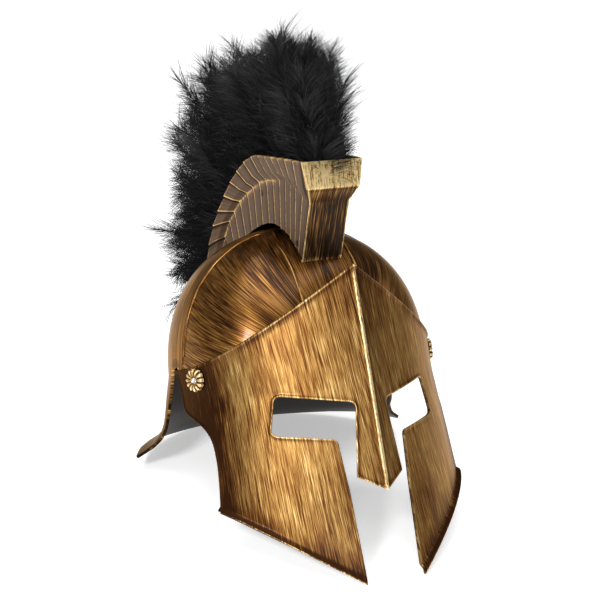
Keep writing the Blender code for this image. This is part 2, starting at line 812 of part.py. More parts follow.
def add_locks(share, lean, length_share, row_count, radius, half, collection):
    """A row of locks across the plume, at one place along the crest."""
    here, up = web_place(share)
    root = here + up * BACKING_HEIGHT * 0.6
    lean_angle = math.radians(lean)
    for row in range(row_count):
        sideways = row - (row_count - 1) / 2.0
        spread = math.radians(PLUME_SPREAD_DEG) * sideways
        reach = PLUME_LENGTH * length_share * (1.0 - 0.08 * abs(sideways))
        direction = Vector((math.sin(spread), math.sin(lean_angle) * math.cos(spread),
                            math.cos(lean_angle) * math.cos(spread)))
        base = root + Vector((sideways * half * 0.35, 0.0, 0.0))
        lock(base, base + direction * reach, radius, "lock", collection)


def make_plume(parts, cutters):
    """Locks of feathers in rows, fused to the backing bar that lies in the holder's channel."""
    half = CREST_NECK_HALF - CREST_WALL - BACKING_SIDE_GAP
    rows = []
    count = 14
    for k in range(count + 1):
        share = 0.05 + 0.92 * k / count
        here, up = web_place(share)
        low = here + up * FIT
        high = here + up * BACKING_HEIGHT
        rows.append([
            Vector((-half, low.y, low.z)),
            Vector((half, low.y, low.z)),
            Vector((half, high.y, high.z)),
            Vector((-half, high.y, high.z)),
        ])
    plume = capped_loft(rows, "plume", parts)

    locks = bpy.data.collections.new("plume_locks")
    cutters.children.link(locks)
    for (share, lean, length_share), (next_share, next_lean, next_length) in zip(
            PLUME_LOCKS, PLUME_LOCKS[1:] + PLUME_LOCKS[-1:]):
        add_locks(share, lean, length_share, PLUME_ROWS, LOCK_RADIUS, half, locks)
        if next_share > share:
            middle = (length_share + next_length) / 2.0 * INNER_SHARE
            add_locks((share + next_share) / 2.0, (lean + next_lean) / 2.0, middle,
                      PLUME_ROWS - 1, INNER_RADIUS, half, locks)
    add_modifier(plume, "BOOLEAN", operation="UNION", operand_type="COLLECTION", collection=locks,
                 solver="EXACT")
    clearance = crest_walls("holder_clearance", cutters, FIT)
    as_cutter(clearance)
    combine(plume, clearance, "DIFFERENCE")
    combine(plume, crest_web("web_clearance", cutters, FIT), "DIFFERENCE")
    settle(plume)
    keep_outer_skin(plume)
    return plume


# Rest and finish

def finish(item, surface, angle_deg):
    as_part(item)
    item.data.materials.clear()
    item.data.materials.append(surface)
    item.data.shade_smooth()
    item.data.set_sharp_from_angle(angle=math.radians(angle_deg))


def rest(items):
    """Tips the helmet back onto its cheek tips and neck rim, and stands it on the ground."""
    corners = np.array([tuple(vertex.co) for item in items[:2] for vertex in item.data.vertices])
    cheeks = corners[corners[:, 1] < 0.0]
    neck = corners[(corners[:, 1] > TIP_Y) & (np.abs(corners[:, 0]) < NECK_REST_HALF)]
    low, high = 0.0, math.radians(45.0)
    for _ in range(40):
        tilt = (low + high) / 2.0
        down = [np.min(side[:, 2] * math.cos(tilt) - side[:, 1] * math.sin(tilt))
                for side in (cheeks, neck)]
        if down[0] < down[1]:
            low = tilt
        else:
            high = tilt
    turned = np.array([tuple(item.matrix_world @ vertex.co)
                       for item in items for vertex in item.data.vertices])
    ys = turned[:, 1] * math.cos(tilt) + turned[:, 2] * math.sin(tilt)
    holder = bpy.data.objects.new("rest_tilt", None)
    bpy.context.scene.collection.objects.link(holder)
    holder.rotation_euler = (-tilt, 0.0, 0.0)
    holder.location = (0.0, -(ys.min() + ys.max()) / 2.0, -min(down))
    for item in items:
        item.parent = holder


def main():
    clear_scene()
    parts = new_collection("spartan_helmet")
    cutters = new_collection("cutters")
    gold = material("antique_gold_plastic", (0.42, 0.25, 0.08), 0.38, 0.55)
    brown = material("bronze_brown_plastic", (0.30, 0.17, 0.06), 0.42, 0.5)
    bright = material("rosette_gold", (0.62, 0.42, 0.16), 0.3, 0.7)
    taupe = material("crest_taupe_gold", (0.33, 0.24, 0.15), 0.45, 0.45)
    black = material("black_feathers", (0.012, 0.012, 0.014), 0.75, 0.0)

    shell = make_skull_shell(parts, cutters)
    mask = make_face_mask(parts, cutters)
    holder = make_crest_holder(parts, cutters)
    plume = make_plume(parts, cutters)
    left = make_rosette(1.0, "rosette_left", parts)
    right = make_rosette(-1.0, "rosette_right", parts)
    for item in (shell, mask, holder, plume):
        settle(item)
    finish(shell, brown, 30.0)
    finish(mask, gold, 30.0)
    finish(holder, taupe, 25.0)
    finish(plume, black, 60.0)
    finish(left, bright, 40.0)
    finish(right, bright, 40.0)
    bpy.context.view_layer.update()
    rest([shell, mask, holder, plume, left, right])


main()
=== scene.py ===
"""Spartan helmet in brushed antique gold plastic, with a black feather plume.

Every shape is worked out upright, as the helmet is worn, with its origin midway between the
two rivets: X to the wearer's left, Y to the back and Z up. It is then tipped back onto its
cheek tips and neck rim, as the helmet lies by itself.
"""

import bpy
import numpy as np
from mathutils import Matrix, Vector
from mathutils.geometry import delaunay_2d_cdt


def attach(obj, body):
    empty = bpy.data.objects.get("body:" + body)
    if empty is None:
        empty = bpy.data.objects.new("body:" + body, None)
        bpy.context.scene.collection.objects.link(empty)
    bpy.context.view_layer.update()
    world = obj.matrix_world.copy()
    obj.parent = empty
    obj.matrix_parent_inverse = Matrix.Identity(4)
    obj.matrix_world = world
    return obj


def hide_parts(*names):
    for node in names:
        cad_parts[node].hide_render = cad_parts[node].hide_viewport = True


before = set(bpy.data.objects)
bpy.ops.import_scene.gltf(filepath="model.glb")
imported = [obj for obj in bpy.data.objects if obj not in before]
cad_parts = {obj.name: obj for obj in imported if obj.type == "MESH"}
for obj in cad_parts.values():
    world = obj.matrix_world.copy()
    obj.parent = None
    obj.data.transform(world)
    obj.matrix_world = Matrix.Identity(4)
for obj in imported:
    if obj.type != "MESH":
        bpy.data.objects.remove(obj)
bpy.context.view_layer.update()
MM = 0.001


# Camera, pale floor and soft studio light.
# The camera looks down at the helmet's right front through a long lens. A small key lamp hangs
# high on its left, a broad one overhead, and weaker ones stand in front and on its right.

camera = bpy.data.objects.new("camera", bpy.data.cameras.new("camera"))
bpy.context.scene.collection.objects.link(camera)
camera.data.sensor_width = 36.0
camera.data.lens = 108.0
camera.matrix_world = Matrix((
    (0.8837, 0.1024, -0.4567, -0.66501),
    (-0.45709, 0.39858, -0.79512, -1.17166),
    (0.10059, 0.91135, 0.39905, 0.73103),
    (0.0, 0.0, 0.0, 1.0),
))
bpy.context.scene.camera = camera

bpy.ops.mesh.primitive_plane_add(size=24.0)
floor = bpy.context.object
floor.name = "floor"
pale = bpy.data.materials.new("pale_floor")
pale.use_nodes = True
shader = pale.node_tree.nodes["Principled BSDF"]
shader.inputs["Base Color"].default_value = (0.93, 0.93, 0.93, 1.0)
shader.inputs["Roughness"].default_value = 0.7
shader.inputs["Emission Color"].default_value = (1.0, 1.0, 1.0, 1.0)
shader.inputs["Emission Strength"].default_value = 0.45
floor.data.materials.append(pale)

world = bpy.data.worlds.new("studio")
world.use_nodes = True
tree = world.node_tree
backdrop = tree.nodes["Background"]
backdrop.inputs["Color"].default_value = (1.0, 1.0, 1.0, 1.0)
# The backdrop is seen nearly white, but lights the helmet no more than a dim room would.
seen = tree.nodes.new("ShaderNodeLightPath")
glow = tree.nodes.new("ShaderNodeMapRange")
glow.inputs["To Min"].default_value = 0.24
glow.inputs["To Max"].default_value = 0.94
tree.links.new(glow.inputs["Value"], seen.outputs["Is Camera Ray"])
tree.links.new(backdrop.inputs["Strength"], glow.outputs["Result"])
bpy.context.scene.world = world
bpy.context.scene.view_settings.view_transform = "Standard"


def soft_lamp(name, place, aim, size, power):
    """A square area lamp at a place, turned to face a point."""
    lamp = bpy.data.objects.new(name, bpy.data.lights.new(name, "AREA"))
    lamp.data.size = size
    lamp.data.energy = power
    lamp.location = place
    lamp.rotation_mode = "QUATERNION"
    lamp.rotation_quaternion = (Vector(aim) - Vector(place)).to_track_quat("-Z", "Y")
    bpy.context.scene.collection.objects.link(lamp)


soft_lamp("key_lamp", (-1.25, -0.95, 1.15), (0.0, 0.0, 0.15), 0.30, 21.0)
soft_lamp("top_lamp", (-0.1, 0.1, 2.2), (0.0, 0.0, 0.0), 2.2, 46.0)
soft_lamp("front_lamp", (-0.9, -1.9, 0.55), (0.0, 0.0, 0.12), 0.8, 8.0)
soft_lamp("fill_lamp", (1.5, -0.2, 0.9), (0.0, 0.0, 0.15), 0.5, 0.8)


# Skull shell: one vacuum-formed plastic dome with a flared neck guard, cut away over the ears.
# Raised beads run back beside the crest and down each side, and a low band follows them to the
# ear. It is painted antique bronze, brushed across the mask's rim, and left dark inside.

REST_TILT = 0.41229
REST_PLACE = np.array([0.0, -0.05313, 0.1107])


def tip_back(points):
    """Turns upright points about X by the rest tilt, then moves them to their place."""
    c, s = np.cos(REST_TILT), np.sin(REST_TILT)
    x, y, z = points[..., 0], points[..., 1], points[..., 2]
    return np.stack([x, y * c + z * s, z * c - y * s], axis=-1) + REST_PLACE


def grid_quads(rows, columns, closed=False):
    """Quads of a grid of rows by columns, stored row by row; closed joins the last column."""
    last = columns if closed else columns - 1
    r, c = np.meshgrid(np.arange(rows - 1), np.arange(last), indexing="ij")
    n = (c + 1) % columns
    quads = np.stack([r * columns + c, r * columns + n, (r + 1) * columns + n,
                      (r + 1) * columns + c], axis=-1)
    return quads.reshape(-1, 4)


def make_piece(name, points, faces, uv=None, values=None):
    """A smooth mesh from upright points, with a UV map and float attributes by point."""
    data = bpy.data.meshes.new(name)
    upright = np.asarray(points, float).reshape(-1, 3)
    data.from_pydata(tip_back(upright).tolist(), [], np.asarray(faces).tolist())
    if uv is not None:
        corner = np.empty(len(data.loops), np.int32)
        data.loops.foreach_get("vertex_index", corner)
        layer = data.uv_layers.new(name="strokes")
        layer.data.foreach_set("uv", np.asarray(uv, np.float32).reshape(-1, 2)[corner].ravel())
    for key, value in (values or {}).items():
        made = data.attributes.new(key, "FLOAT", "POINT")
        made.data.foreach_set("value", np.asarray(value, np.float32).ravel())
    data.shade_smooth()
    data.update()
    piece = bpy.data.objects.new(name, data)
    bpy.context.scene.collection.objects.link(piece)
    return piece


def face_out(piece, centre):
    """Turns a sheet's faces over if they look, on the whole, towards an upright point."""
    heart = tip_back(np.array(centre))
    count = len(piece.data.polygons)
    middle, normal = np.empty(count * 3), np.empty(count * 3)
    piece.data.polygons.foreach_get("center", middle)
    piece.data.polygons.foreach_get("normal", normal)
    if np.sum((middle.reshape(-1, 3) - heart) * normal.reshape(-1, 3)) < 0.0:
        piece.data.flip_normals()


def give_wall(piece, wall, rim_width=0.35 * MM):
    """A wall on the inner side, in the piece's second material, and softly broken rim edges."""
    solid = piece.modifiers.new("wall", "SOLIDIFY")
    solid.thickness = wall
    solid.offset = -1.0
    solid.material_offset = 1
    solid.material_offset_rim = 0
    bevel = piece.modifiers.new("broken_edge", "BEVEL")
    bevel.width = rim_width
    bevel.segments = 2
    bevel.limit_method = "ANGLE"
    bevel.angle_limit = np.radians(60.0)


def node(tree, kind, links=(), **values):
    """A shader node with settings and socket values; links are (own input, other socket)."""
    made = tree.nodes.new(kind)
    for key, value in values.items():
        if key in made.inputs:
            made.inputs[key].default_value = value
        else:
            setattr(made, key, value)
    for own, other in links:
        tree.links.new(made.inputs[own], other)
    return made


def math_node(tree, operation, a, b, clamp=False):
    """A Math node of two terms, each a socket or a number."""
    made = tree.nodes.new("ShaderNodeMath")
    made.operation = operation
    made.use_clamp = clamp
    for slot, term in enumerate((a, b)):
        if isinstance(term, (int, float)):
            made.inputs[slot].default_value = term
        else:
            tree.links.new(made.inputs[slot], term)
    return made.outputs[0]


def weighted(tree, *parts):
    """The sum of (socket, weight) parts."""
    total = math_node(tree, "MULTIPLY", *parts[0])
    for socket, weight in parts[1:]:
        total = math_node(tree, "ADD", total, math_node(tree, "MULTIPLY", socket, weight))
    return total


def eased(tree, value, low, high, to_low, to_high):
    """A value that goes smoothly from to_low at low to to_high at high."""
    limits = {"From Min": low, "From Max": high, "To Min": to_low, "To Max": to_high}
    return node(tree, "ShaderNodeMapRange", [("Value", value)],
                interpolation_type="SMOOTHSTEP", **limits).outputs[0]


def new_group(name, takes, gives):
    """A shader node group with (name, kind, value) inputs and (name, kind) outputs."""
    group = bpy.data.node_groups.new(name, "ShaderNodeTree")
    for label, kind, value in takes:
        made = group.interface.new_socket(label, in_out="INPUT", socket_type=kind)
        if value is not None:
            made.default_value = value
    for label, kind in gives:
        group.interface.new_socket(label, in_out="OUTPUT", socket_type=kind)
    return group, group.nodes.new("NodeGroupInput"), group.nodes.new("NodeGroupOutput")


# The brushed paint: strokes are read across and along in metres. Coarse patches, brush marks and
# hair-fine lines add up to a tone, which dark wash and painted shade lower and rubbing raises.
brushed_paint, given, result = new_group(
    "brushed_paint",
    [("Strokes", "NodeSocketVector", None), ("Wash_and_shade", "NodeSocketFloat", 0.0),
     ("Rub", "NodeSocketFloat", 0.0), ("Contrast", "NodeSocketFloat", 1.0)],
    [("Tone", "NodeSocketFloat"), ("Height", "NodeSocketFloat"), ("Gloss", "NodeSocketFloat")])


def stroke_noise(across, along, detail, distortion):
    """Noise on the strokes' two coordinates, so many marks a metre across and along them."""
    scaled = node(brushed_paint, "ShaderNodeVectorMath", [(0, given.outputs["Strokes"])],
                  operation="MULTIPLY")
    scaled.inputs[1].default_value = (across, along, 1.0)
    return node(brushed_paint, "ShaderNodeTexNoise", [("Vector", scaled.outputs[0])],
                noise_dimensions="2D", Scale=1.0, Detail=detail, Roughness=0.6,
                Distortion=distortion).outputs["Fac"]


def paint_math(operation, a, b, clamp=False):
    """A Math node in the brushed paint's group."""
    return math_node(brushed_paint, operation, a, b, clamp)


patch = stroke_noise(42.0, 13.0, 3.0, 0.5)
mark = stroke_noise(940.0, 30.0, 2.0, 0.3)
hair = stroke_noise(1900.0, 70.0, 2.0, 0.2)
scratch = stroke_noise(900.0, 15.0, 1.0, 0.2)
fleck = stroke_noise(1000.0, 260.0, 2.0, 0.0)
tone = weighted(brushed_paint, (patch, 0.28), (mark, 0.36), (hair, 0.40))
tone = paint_math("MULTIPLY", paint_math("SUBTRACT", tone, 0.52), given.outputs["Contrast"])
tone = paint_math("ADD", paint_math("MULTIPLY", tone, 2.5), 0.47)
tone = paint_math("SUBTRACT", tone, eased(brushed_paint, scratch, 0.60, 0.70, 0.0, 0.26))
wash_and_shade_depth = paint_math("SUBTRACT", 1.45, weighted(brushed_paint, (mark, 1.1), (patch, 0.5)))
tone = paint_math("SUBTRACT", tone, paint_math("MULTIPLY", given.outputs["Wash_and_shade"], wash_and_shade_depth))
worn = eased(brushed_paint, fleck, 0.36, 0.62, 0.48, 0.98)
tone = paint_math("ADD", tone, paint_math("MULTIPLY", given.outputs["Rub"], worn), clamp=True)
for label, value in (("Tone", tone),
                     ("Height", weighted(brushed_paint, (hair, 0.6), (mark, 0.4))),
                     ("Gloss", weighted(brushed_paint, (hair, 0.16), (tone, 0.06)))):
    brushed_paint.links.new(result.inputs[label], value)


def colour_ramp(tree, value, stops):
    """A ramp of (place, colour) stops, read at a value."""
    ramp = node(tree, "ShaderNodeValToRGB", [("Fac", value)])
    while len(ramp.color_ramp.elements) < len(stops):
        ramp.color_ramp.elements.new(0.5)
    for stop, (place, colour) in zip(ramp.color_ramp.elements, stops):
        stop.position = place
        stop.color = (*colour, 1.0)
    return ramp.outputs["Color"]


def painted_plastic(name, colours, roughness, metallic, contrast=1.0, bump=0.06, coat=0.22):
    """Plastic under brushed paint: colours are (tone, colour) stops from the dark wash and painted
    shade to the gold.
    """
    surface = bpy.data.materials.new(name)
    surface.use_nodes = True
    tree = surface.node_tree
    shader = tree.nodes["Principled BSDF"]
    uv = node(tree, "ShaderNodeUVMap", uv_map="strokes")
    wash_and_shade = node(tree, "ShaderNodeAttribute", attribute_name="wash_and_shade").outputs["Fac"]
    rub = node(tree, "ShaderNodeAttribute", attribute_name="rub").outputs["Fac"]
    paint = node(tree, "ShaderNodeGroup", node_tree=brushed_paint)
    for label, value in (("Strokes", uv.outputs["UV"]), ("Wash_and_shade", wash_and_shade), ("Rub", rub)):
        tree.links.new(paint.inputs[label], value)
    paint.inputs["Contrast"].default_value = contrast
    shader.inputs["Metallic"].default_value = metallic
    shader.inputs["Coat Roughness"].default_value = 0.13
    shader.inputs["Specular Tint"].default_value = (0.92, 0.66, 0.42, 1.0)
    free_of_wash_and_shade = math_node(tree, "SUBTRACT", 1.0, wash_and_shade, clamp=True)
    rough = math_node(tree, "ADD", paint.outputs["Gloss"], roughness)
    dulled = math_node(tree, "MULTIPLY", wash_and_shade, 0.12, clamp=True)
    relief = node(tree, "ShaderNodeBump", [("Height", paint.outputs["Height"])],
                  Strength=0.45, Distance=bump * MM)
    for label, value in (("Base Color", colour_ramp(tree, paint.outputs["Tone"], colours)),
                         ("Coat Weight", math_node(tree, "MULTIPLY", free_of_wash_and_shade, coat)),
                         ("Roughness", math_node(tree, "ADD", rough, dulled)),
                         ("Normal", relief.outputs["Normal"])):
        tree.links.new(shader.inputs[label], value)
    return surface


def object_noise(tree, **values):
    """Noise in object space."""
    place = node(tree, "ShaderNodeTexCoord").outputs["Object"]
    return node(tree, "ShaderNodeTexNoise", [("Vector", place)], **values).outputs["Fac"]


def speckled_plastic(name, scale, detail, stops, roughness):
    """A material whose colour follows fine noise in object space, with its tree and shader."""
    surface = bpy.data.materials.new(name)
    surface.use_nodes = True
    tree = surface.node_tree
    shader = tree.nodes["Principled BSDF"]
    noise = object_noise(tree, Scale=scale, Detail=detail)
    tree.links.new(shader.inputs["Base Color"], colour_ramp(tree, noise, stops))
    shader.inputs["Roughness"].default_value = roughness
    return surface, tree, shader


BRONZE_STOPS = [
    (0.00, (0.008, 0.004, 0.002)),
    (0.20, (0.036, 0.012, 0.003)),
    (0.40, (0.142, 0.055, 0.011)),
    (0.58, (0.300, 0.142, 0.030)),
    (0.78, (0.470, 0.265, 0.078)),
    (1.00, (0.760, 0.540, 0.260)),
]
shell_paint = painted_plastic("bronze_paint", BRONZE_STOPS, 0.24, 0.85, contrast=0.84,
                              coat=0.15)

bare_inside, tree, shader = speckled_plastic(
    "dark_bare_plastic", 22.0, 3.0,
    [(0.35, (0.008, 0.007, 0.006)), (0.72, (0.030, 0.025, 0.020))], 0.52)
grain = object_noise(tree, Scale=900.0, Detail=4.0, Roughness=0.65)
grit = node(tree, "ShaderNodeBump", [("Height", grain)], Strength=0.35, Distance=0.12 * MM)
tree.links.new(shader.inputs["Normal"], grit.outputs["Normal"])

DOME_HALF_WIDTH, DOME_HEIGHT, DOME_CENTRE_Y = 105.7 * MM, 111.0 * MM, 38.5 * MM
DOME_FRONT, DOME_REAR = 87.0 * MM, 101.0 * MM
CROWN = 2.2
GUARD_DEPTH, GUARD_FLARE = 65.4 * MM, 33.0 * MM
GUARD_RIM = np.array([
    # turn from the front in degrees, share of the depth, share of the flare
    (90, 1.000, 0.16), (100, 1.000, 0.40), (108, 1.000, 0.85), (114, 0.980, 1.00),
    (124, 0.905, 0.97), (132, 0.855, 0.90), (142, 0.825, 0.80), (160, 0.795, 0.62),
    (180, 0.772, 0.50),
])
GUARD_PROFILE = np.array([
    # share of the depth, share of the flare
    (0.00, 0.00), (0.14, 0.06), (0.30, 0.12), (0.48, 0.18), (0.64, 0.25), (0.78, 0.38),
    (0.90, 0.62), (1.00, 1.00),
])


def dome_plan(turn, share, grow=0.0):
    """Plan of the dome: a super-ellipse, squarer in front, shrunk by a share; turn is signed."""
    side, turn = np.sign(turn), np.abs(turn)
    forward = turn < np.pi / 2.0
    power = np.where(forward, 2.0 / 2.5, 2.0 / 1.92)
    reach = np.where(forward, -(DOME_FRONT + grow), DOME_REAR + grow) * share
    x = (DOME_HALF_WIDTH + grow) * share * np.abs(np.sin(turn)) ** power
    return side * x, DOME_CENTRE_Y + reach * np.abs(np.cos(turn)) ** power


def dome_surface(turn, rise, grow=0.0):
    """A super-ellipse in height too: at rise 0 it is the foot, and at 90 degrees the crown."""
    z = np.sin(rise)
    share = (1.0 - np.clip(z, 0.0, 1.0) ** CROWN) ** (1.0 / CROWN)
    x, y = dome_plan(turn, share, grow)
    return np.stack([x, y, (DOME_HEIGHT + grow) * z], axis=-1)


def dome_height_at(x, y, grow=0.0):
    """Height of the dome over a plan point, from the share of its plan that holds the point."""
    forward = y < DOME_CENTRE_Y
    power = np.where(forward, 2.5, 1.92)
    reach = np.where(forward, DOME_FRONT + grow, DOME_REAR + grow)
    share = ((np.abs(x) / (DOME_HALF_WIDTH + grow)) ** power
             + (np.abs(y - DOME_CENTRE_Y) / reach) ** power) ** (1.0 / power)
    return (DOME_HEIGHT + grow) * (1.0 - np.clip(share, 0.0, 1.0) ** CROWN) ** (1.0 / CROWN)


def smooth_step(value, low, high):
    """Rises from 0 at low to 1 at high along a cubic."""
    t = np.clip((value - low) / (high - low), 0.0, 1.0)
    return t * t * (3.0 - 2.0 * t)


def fade(value, low, high):
    """Falls from 1 at low to 0 at high along a cubic."""
    return 1.0 - smooth_step(value, low, high)


def unit(vectors):
    """Vectors along the last axis, each brought to a length of one."""
    return vectors / np.maximum(np.linalg.norm(vectors, axis=-1), 1e-12)[..., None]


def run_along(line):
    """The length passed at each point of a line, from 0 at its first."""
    return np.concatenate([[0.0], np.cumsum(np.linalg.norm(np.diff(line, axis=0), axis=1))])


def guard_surface(turn, down):
    """Below the dome: the foot's plan pushed out along its normal by the flare, as it goes down."""
    step = 0.004
    sign = np.where(turn < 0.0, -1.0, 1.0)
    size = np.clip(np.abs(turn), step, np.pi - step)
    x0, y0 = dome_plan(size - step, 1.0)
    x1, y1 = dome_plan(size + step, 1.0)
    x, y = dome_plan(np.clip(np.abs(turn), 1e-6, np.pi), 1.0)
    run = np.hypot(x1 - x0, y1 - y0)
    out_x, out_y = (y1 - y0) / run, -(x1 - x0) / run
    end = np.abs(turn) > np.pi - step
    out_x, out_y = np.where(end, 0.0, out_x), np.where(end, 1.0, out_y)
    degrees = np.degrees(np.abs(turn))
    depth = GUARD_DEPTH * np.interp(degrees, GUARD_RIM[:, 0], GUARD_RIM[:, 1])
    flare = GUARD_FLARE * np.interp(degrees, GUARD_RIM[:, 0], GUARD_RIM[:, 2])
    push = flare * np.interp(down, GUARD_PROFILE[:, 0], GUARD_PROFILE[:, 1])
    return np.stack([sign * (x + out_x * push), y + out_y * push, -depth * down], axis=-1)


def rounded(corners, spacing):
    """A closed outline of (a, b, radius) corners: arcs as quadratic curves, runs split evenly."""
    knots = []
    for k in range(len(corners)):
        here = np.array(corners[k][:2])
        before = np.array(corners[k - 1][:2]) - here
        after = np.array(corners[(k + 1) % len(corners)][:2]) - here
        radius = corners[k][2]
        if radius <= 0.0:
            knots.append(here[None, :])
            continue
        before, after = before / np.linalg.norm(before), after / np.linalg.norm(after)
        reach = radius / np.tan(np.arccos(np.clip(before @ after, -1.0, 1.0)) / 2.0)
        share = np.linspace(0.0, 1.0, 9)[:, None]
        start, stop = here + before * reach, here + after * reach
        knots.append((1 - share) ** 2 * start + 2 * share * (1 - share) * here + share ** 2 * stop)
    knots = np.concatenate(knots)
    ends = np.roll(knots, -1, axis=0)
    runs = []
    for start, stop in zip(knots, ends):
        steps = max(1, int(np.ceil(np.linalg.norm(stop - start) / spacing)))
        share = np.arange(steps)[:, None] / steps
        runs.append(start + (stop - start) * share)
    return np.concatenate(runs)


def inside(points, outline):
    """True where a point lies in a closed outline, by counting the edges to its right."""
    x, y = points[:, 0][:, None], points[:, 1][:, None]
    a, b = outline, np.roll(outline, -1, axis=0)
    spans = (a[:, 1] > y) != (b[:, 1] > y)
    rise = np.where(b[:, 1] == a[:, 1], 1e-12, b[:, 1] - a[:, 1])
    cross = a[:, 0] + (y - a[:, 1]) * (b[:, 0] - a[:, 0]) / rise
    return np.sum(spans & (x < cross), axis=1) % 2 == 1


ARCH = 15.0 * MM
shell_cut = rounded([
    (-130.0 * MM, -10.0 * MM, 0.0),
    (29.0 * MM, -10.0 * MM, ARCH * 0.20),
    (44.0 * MM - ARCH * 0.75, 8.0 * MM, ARCH * 0.47),
    (44.0 * MM + ARCH * 0.45, 8.0 * MM, ARCH * 0.53),
    (59.0 * MM + ARCH * 0.20, -GUARD_DEPTH * 0.28, ARCH * 0.80),
    (59.0 * MM + ARCH * 0.87, -GUARD_DEPTH * 0.67, ARCH * 1.33),
    (96.0 * MM, -GUARD_DEPTH * 1.01, 0.0),
    (96.0 * MM, -110.0 * MM, 0.0),
    (-130.0 * MM, -110.0 * MM, 0.0),
], 2.0 * MM)

# Columns stand closer together over the ears, where the shell's edge turns up. Each stops at the
# cut: below the foot by a share of the guard's depth, or above it, where the stop is negative.
even = np.linspace(0.0, np.pi, 91)
ear = np.radians(np.linspace(80.0, 116.0, 73))
clear_of_ear = (even < ear[0] - 0.01) | (even > ear[-1] + 0.01)
side_turns = np.unique(np.concatenate([even[clear_of_ear], ear]))
turns = np.concatenate([-side_turns[:0:-1], side_turns[:-1]])
DOWN_STEPS, UP_STEPS = 260, 40
trial_down = np.linspace(0.0, 1.0, DOWN_STEPS)
trial = guard_surface(*np.meshgrid(turns, trial_down, indexing="ij"))
above = np.linspace(8.5 * MM, 0.0, UP_STEPS)
stop_down = np.empty(len(turns))
for k in range(len(turns)):
    hit = inside(trial[k][:, 1:], shell_cut)
    first = int(np.argmax(hit)) if hit.any() else DOWN_STEPS - 1
    if first > 0:
        stop_down[k] = trial_down[first]
    else:
        hit = inside(np.stack([np.full(UP_STEPS, trial[k][0][1]), above], axis=-1), shell_cut)
        stop_down[k] = -above[int(np.argmax(hit))] / DOME_HEIGHT if hit.any() else 0.0
SHELL_ROWS = 74
dome_length = 1.5 * DOME_HEIGHT
cut_rise = np.arcsin(np.clip(-stop_down, 0.0, 1.0)) * 2.0 / np.pi
column_length = dome_length * (1.0 - cut_rise) + np.maximum(stop_down, 0.0) * GUARD_DEPTH
rows = []
for share in np.linspace(0.0, 1.0, SHELL_ROWS):
    gone = column_length * share
    upper = dome_surface(turns, np.pi / 2.0 * (1.0 - np.clip(gone / dome_length, 0.0, 1.0)))
    lower = guard_surface(turns, np.maximum(gone - dome_length, 0.0) / GUARD_DEPTH)
    rows.append(np.where((gone > dome_length)[:, None], lower, upper))
shell_points = np.stack(rows)

# Strokes run to the mask's rim in front, and down the rear. Painted shade darkens the crown round
# the crest's foot, and the rear, the guard and the cut edge are darker.
flat = shell_points.reshape(-1, 3)
x, y, z = flat.T
ahead = y < 27.0 * MM
around = 0.1 * np.arctan2(z, np.abs(x))
passed = (np.linspace(0.0, 1.0, SHELL_ROWS)[:, None] * column_length[None, :]).ravel()
across = np.where(ahead, around - 0.34 * y, 0.5 + 0.1 * np.abs(np.tile(turns, SHELL_ROWS)))
along = np.where(ahead, y, passed + 0.4 * x)
edge_gap = np.linalg.norm(shell_points - shell_points[-1][None], axis=-1).ravel()
crown = np.hypot(x * 0.9, y - 0.01)
shell_wash_and_shade = (0.34 * fade(crown, 20 * MM, 66 * MM) + 0.10 + 0.12 * ~ahead
              + 0.62 * fade(z, -34 * MM, 4 * MM) * ~ahead + 0.30 * fade(edge_gap, 1 * MM, 9 * MM))
skull_shell = make_piece("skull_shell_painted", flat,
                         grid_quads(len(rows), len(turns), closed=True),
                         uv=np.stack([across, along], axis=-1),
                         values={"wash_and_shade": shell_wash_and_shade,
                                 "rub": 0.45 * fade(edge_gap, 0.6 * MM, 1.6 * MM)})
face_out(skull_shell, (0.0, 0.04, 0.0))
skull_shell.data.materials.append(shell_paint)
skull_shell.data.materials.append(bare_inside)
give_wall(skull_shell, 2.4 * MM)
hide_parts("skull_shell")
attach(skull_shell, "root")


def bead_on_path(name, path, radius, wash_and_shade, rub):
    """A round bead along upright points: rings of ten points square to the path, ends closed."""
    forward = unit(np.gradient(path, axis=0))
    side = unit(np.cross(forward, path - np.array([0.0, DOME_CENTRE_Y, 0.0])))
    up = np.cross(side, forward)
    steps = np.arange(len(path))
    size = radius * np.minimum(1.0, np.minimum(steps, steps[::-1]) / 2.0)
    angle = np.linspace(0.0, 2.0 * np.pi, 11)[:-1]
    ring = (side[:, None, :] * np.cos(angle)[None, :, None]
            + up[:, None, :] * np.sin(angle)[None, :, None]) * size[:, None, None]
    uv = np.broadcast_arrays(angle * radius, run_along(path)[:, None])
    light = np.tile(rub * (0.4 + 0.6 * np.sin(angle).clip(0.0, 1.0)), len(path))
    return make_piece(name, path[:, None, :] + ring, grid_quads(len(path), 10, closed=True),
                      uv=np.stack(uv, axis=-1),
                      values={"wash_and_shade": np.full(len(light), wash_and_shade), "rub": light})


def over_dome(x, y, grow=0.0):
    """Plan points lifted onto the dome."""
    return np.stack([x, y, dome_height_at(x, y, grow)], axis=-1)


# Each rib runs back beside the crest, turns a corner in plan, and drops down the side.
RIB_X, RIB_Y, RIB_CORNER = 28.0 * MM, 25.0 * MM, 7.0 * MM
for side, label in ((1.0, "left"), (-1.0, "right")):
    run_y = np.linspace(-44.0 * MM, RIB_Y - RIB_CORNER, 60)
    bend = np.linspace(0.0, 1.0, 12)[1:]
    drop = np.sin(np.linspace(0.0, np.pi / 2.0, 90))[1:]
    drop_x = RIB_X + RIB_CORNER + drop * (DOME_HALF_WIDTH - 1.2 * MM - RIB_X - RIB_CORNER)
    x = np.concatenate([np.full(60, RIB_X), RIB_X + RIB_CORNER * bend ** 2, drop_x]) * side
    y = np.concatenate([run_y, RIB_Y - RIB_CORNER * (1.0 - bend) ** 2, np.full(89, RIB_Y)])
    bead = bead_on_path("dome_bead_" + label, over_dome(x, y), 1.15 * MM, 0.15, 0.24)
    face_out(bead, (0.0, DOME_CENTRE_Y, 0.0))
    bead.data.materials.append(shell_paint)
    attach(bead, "root")

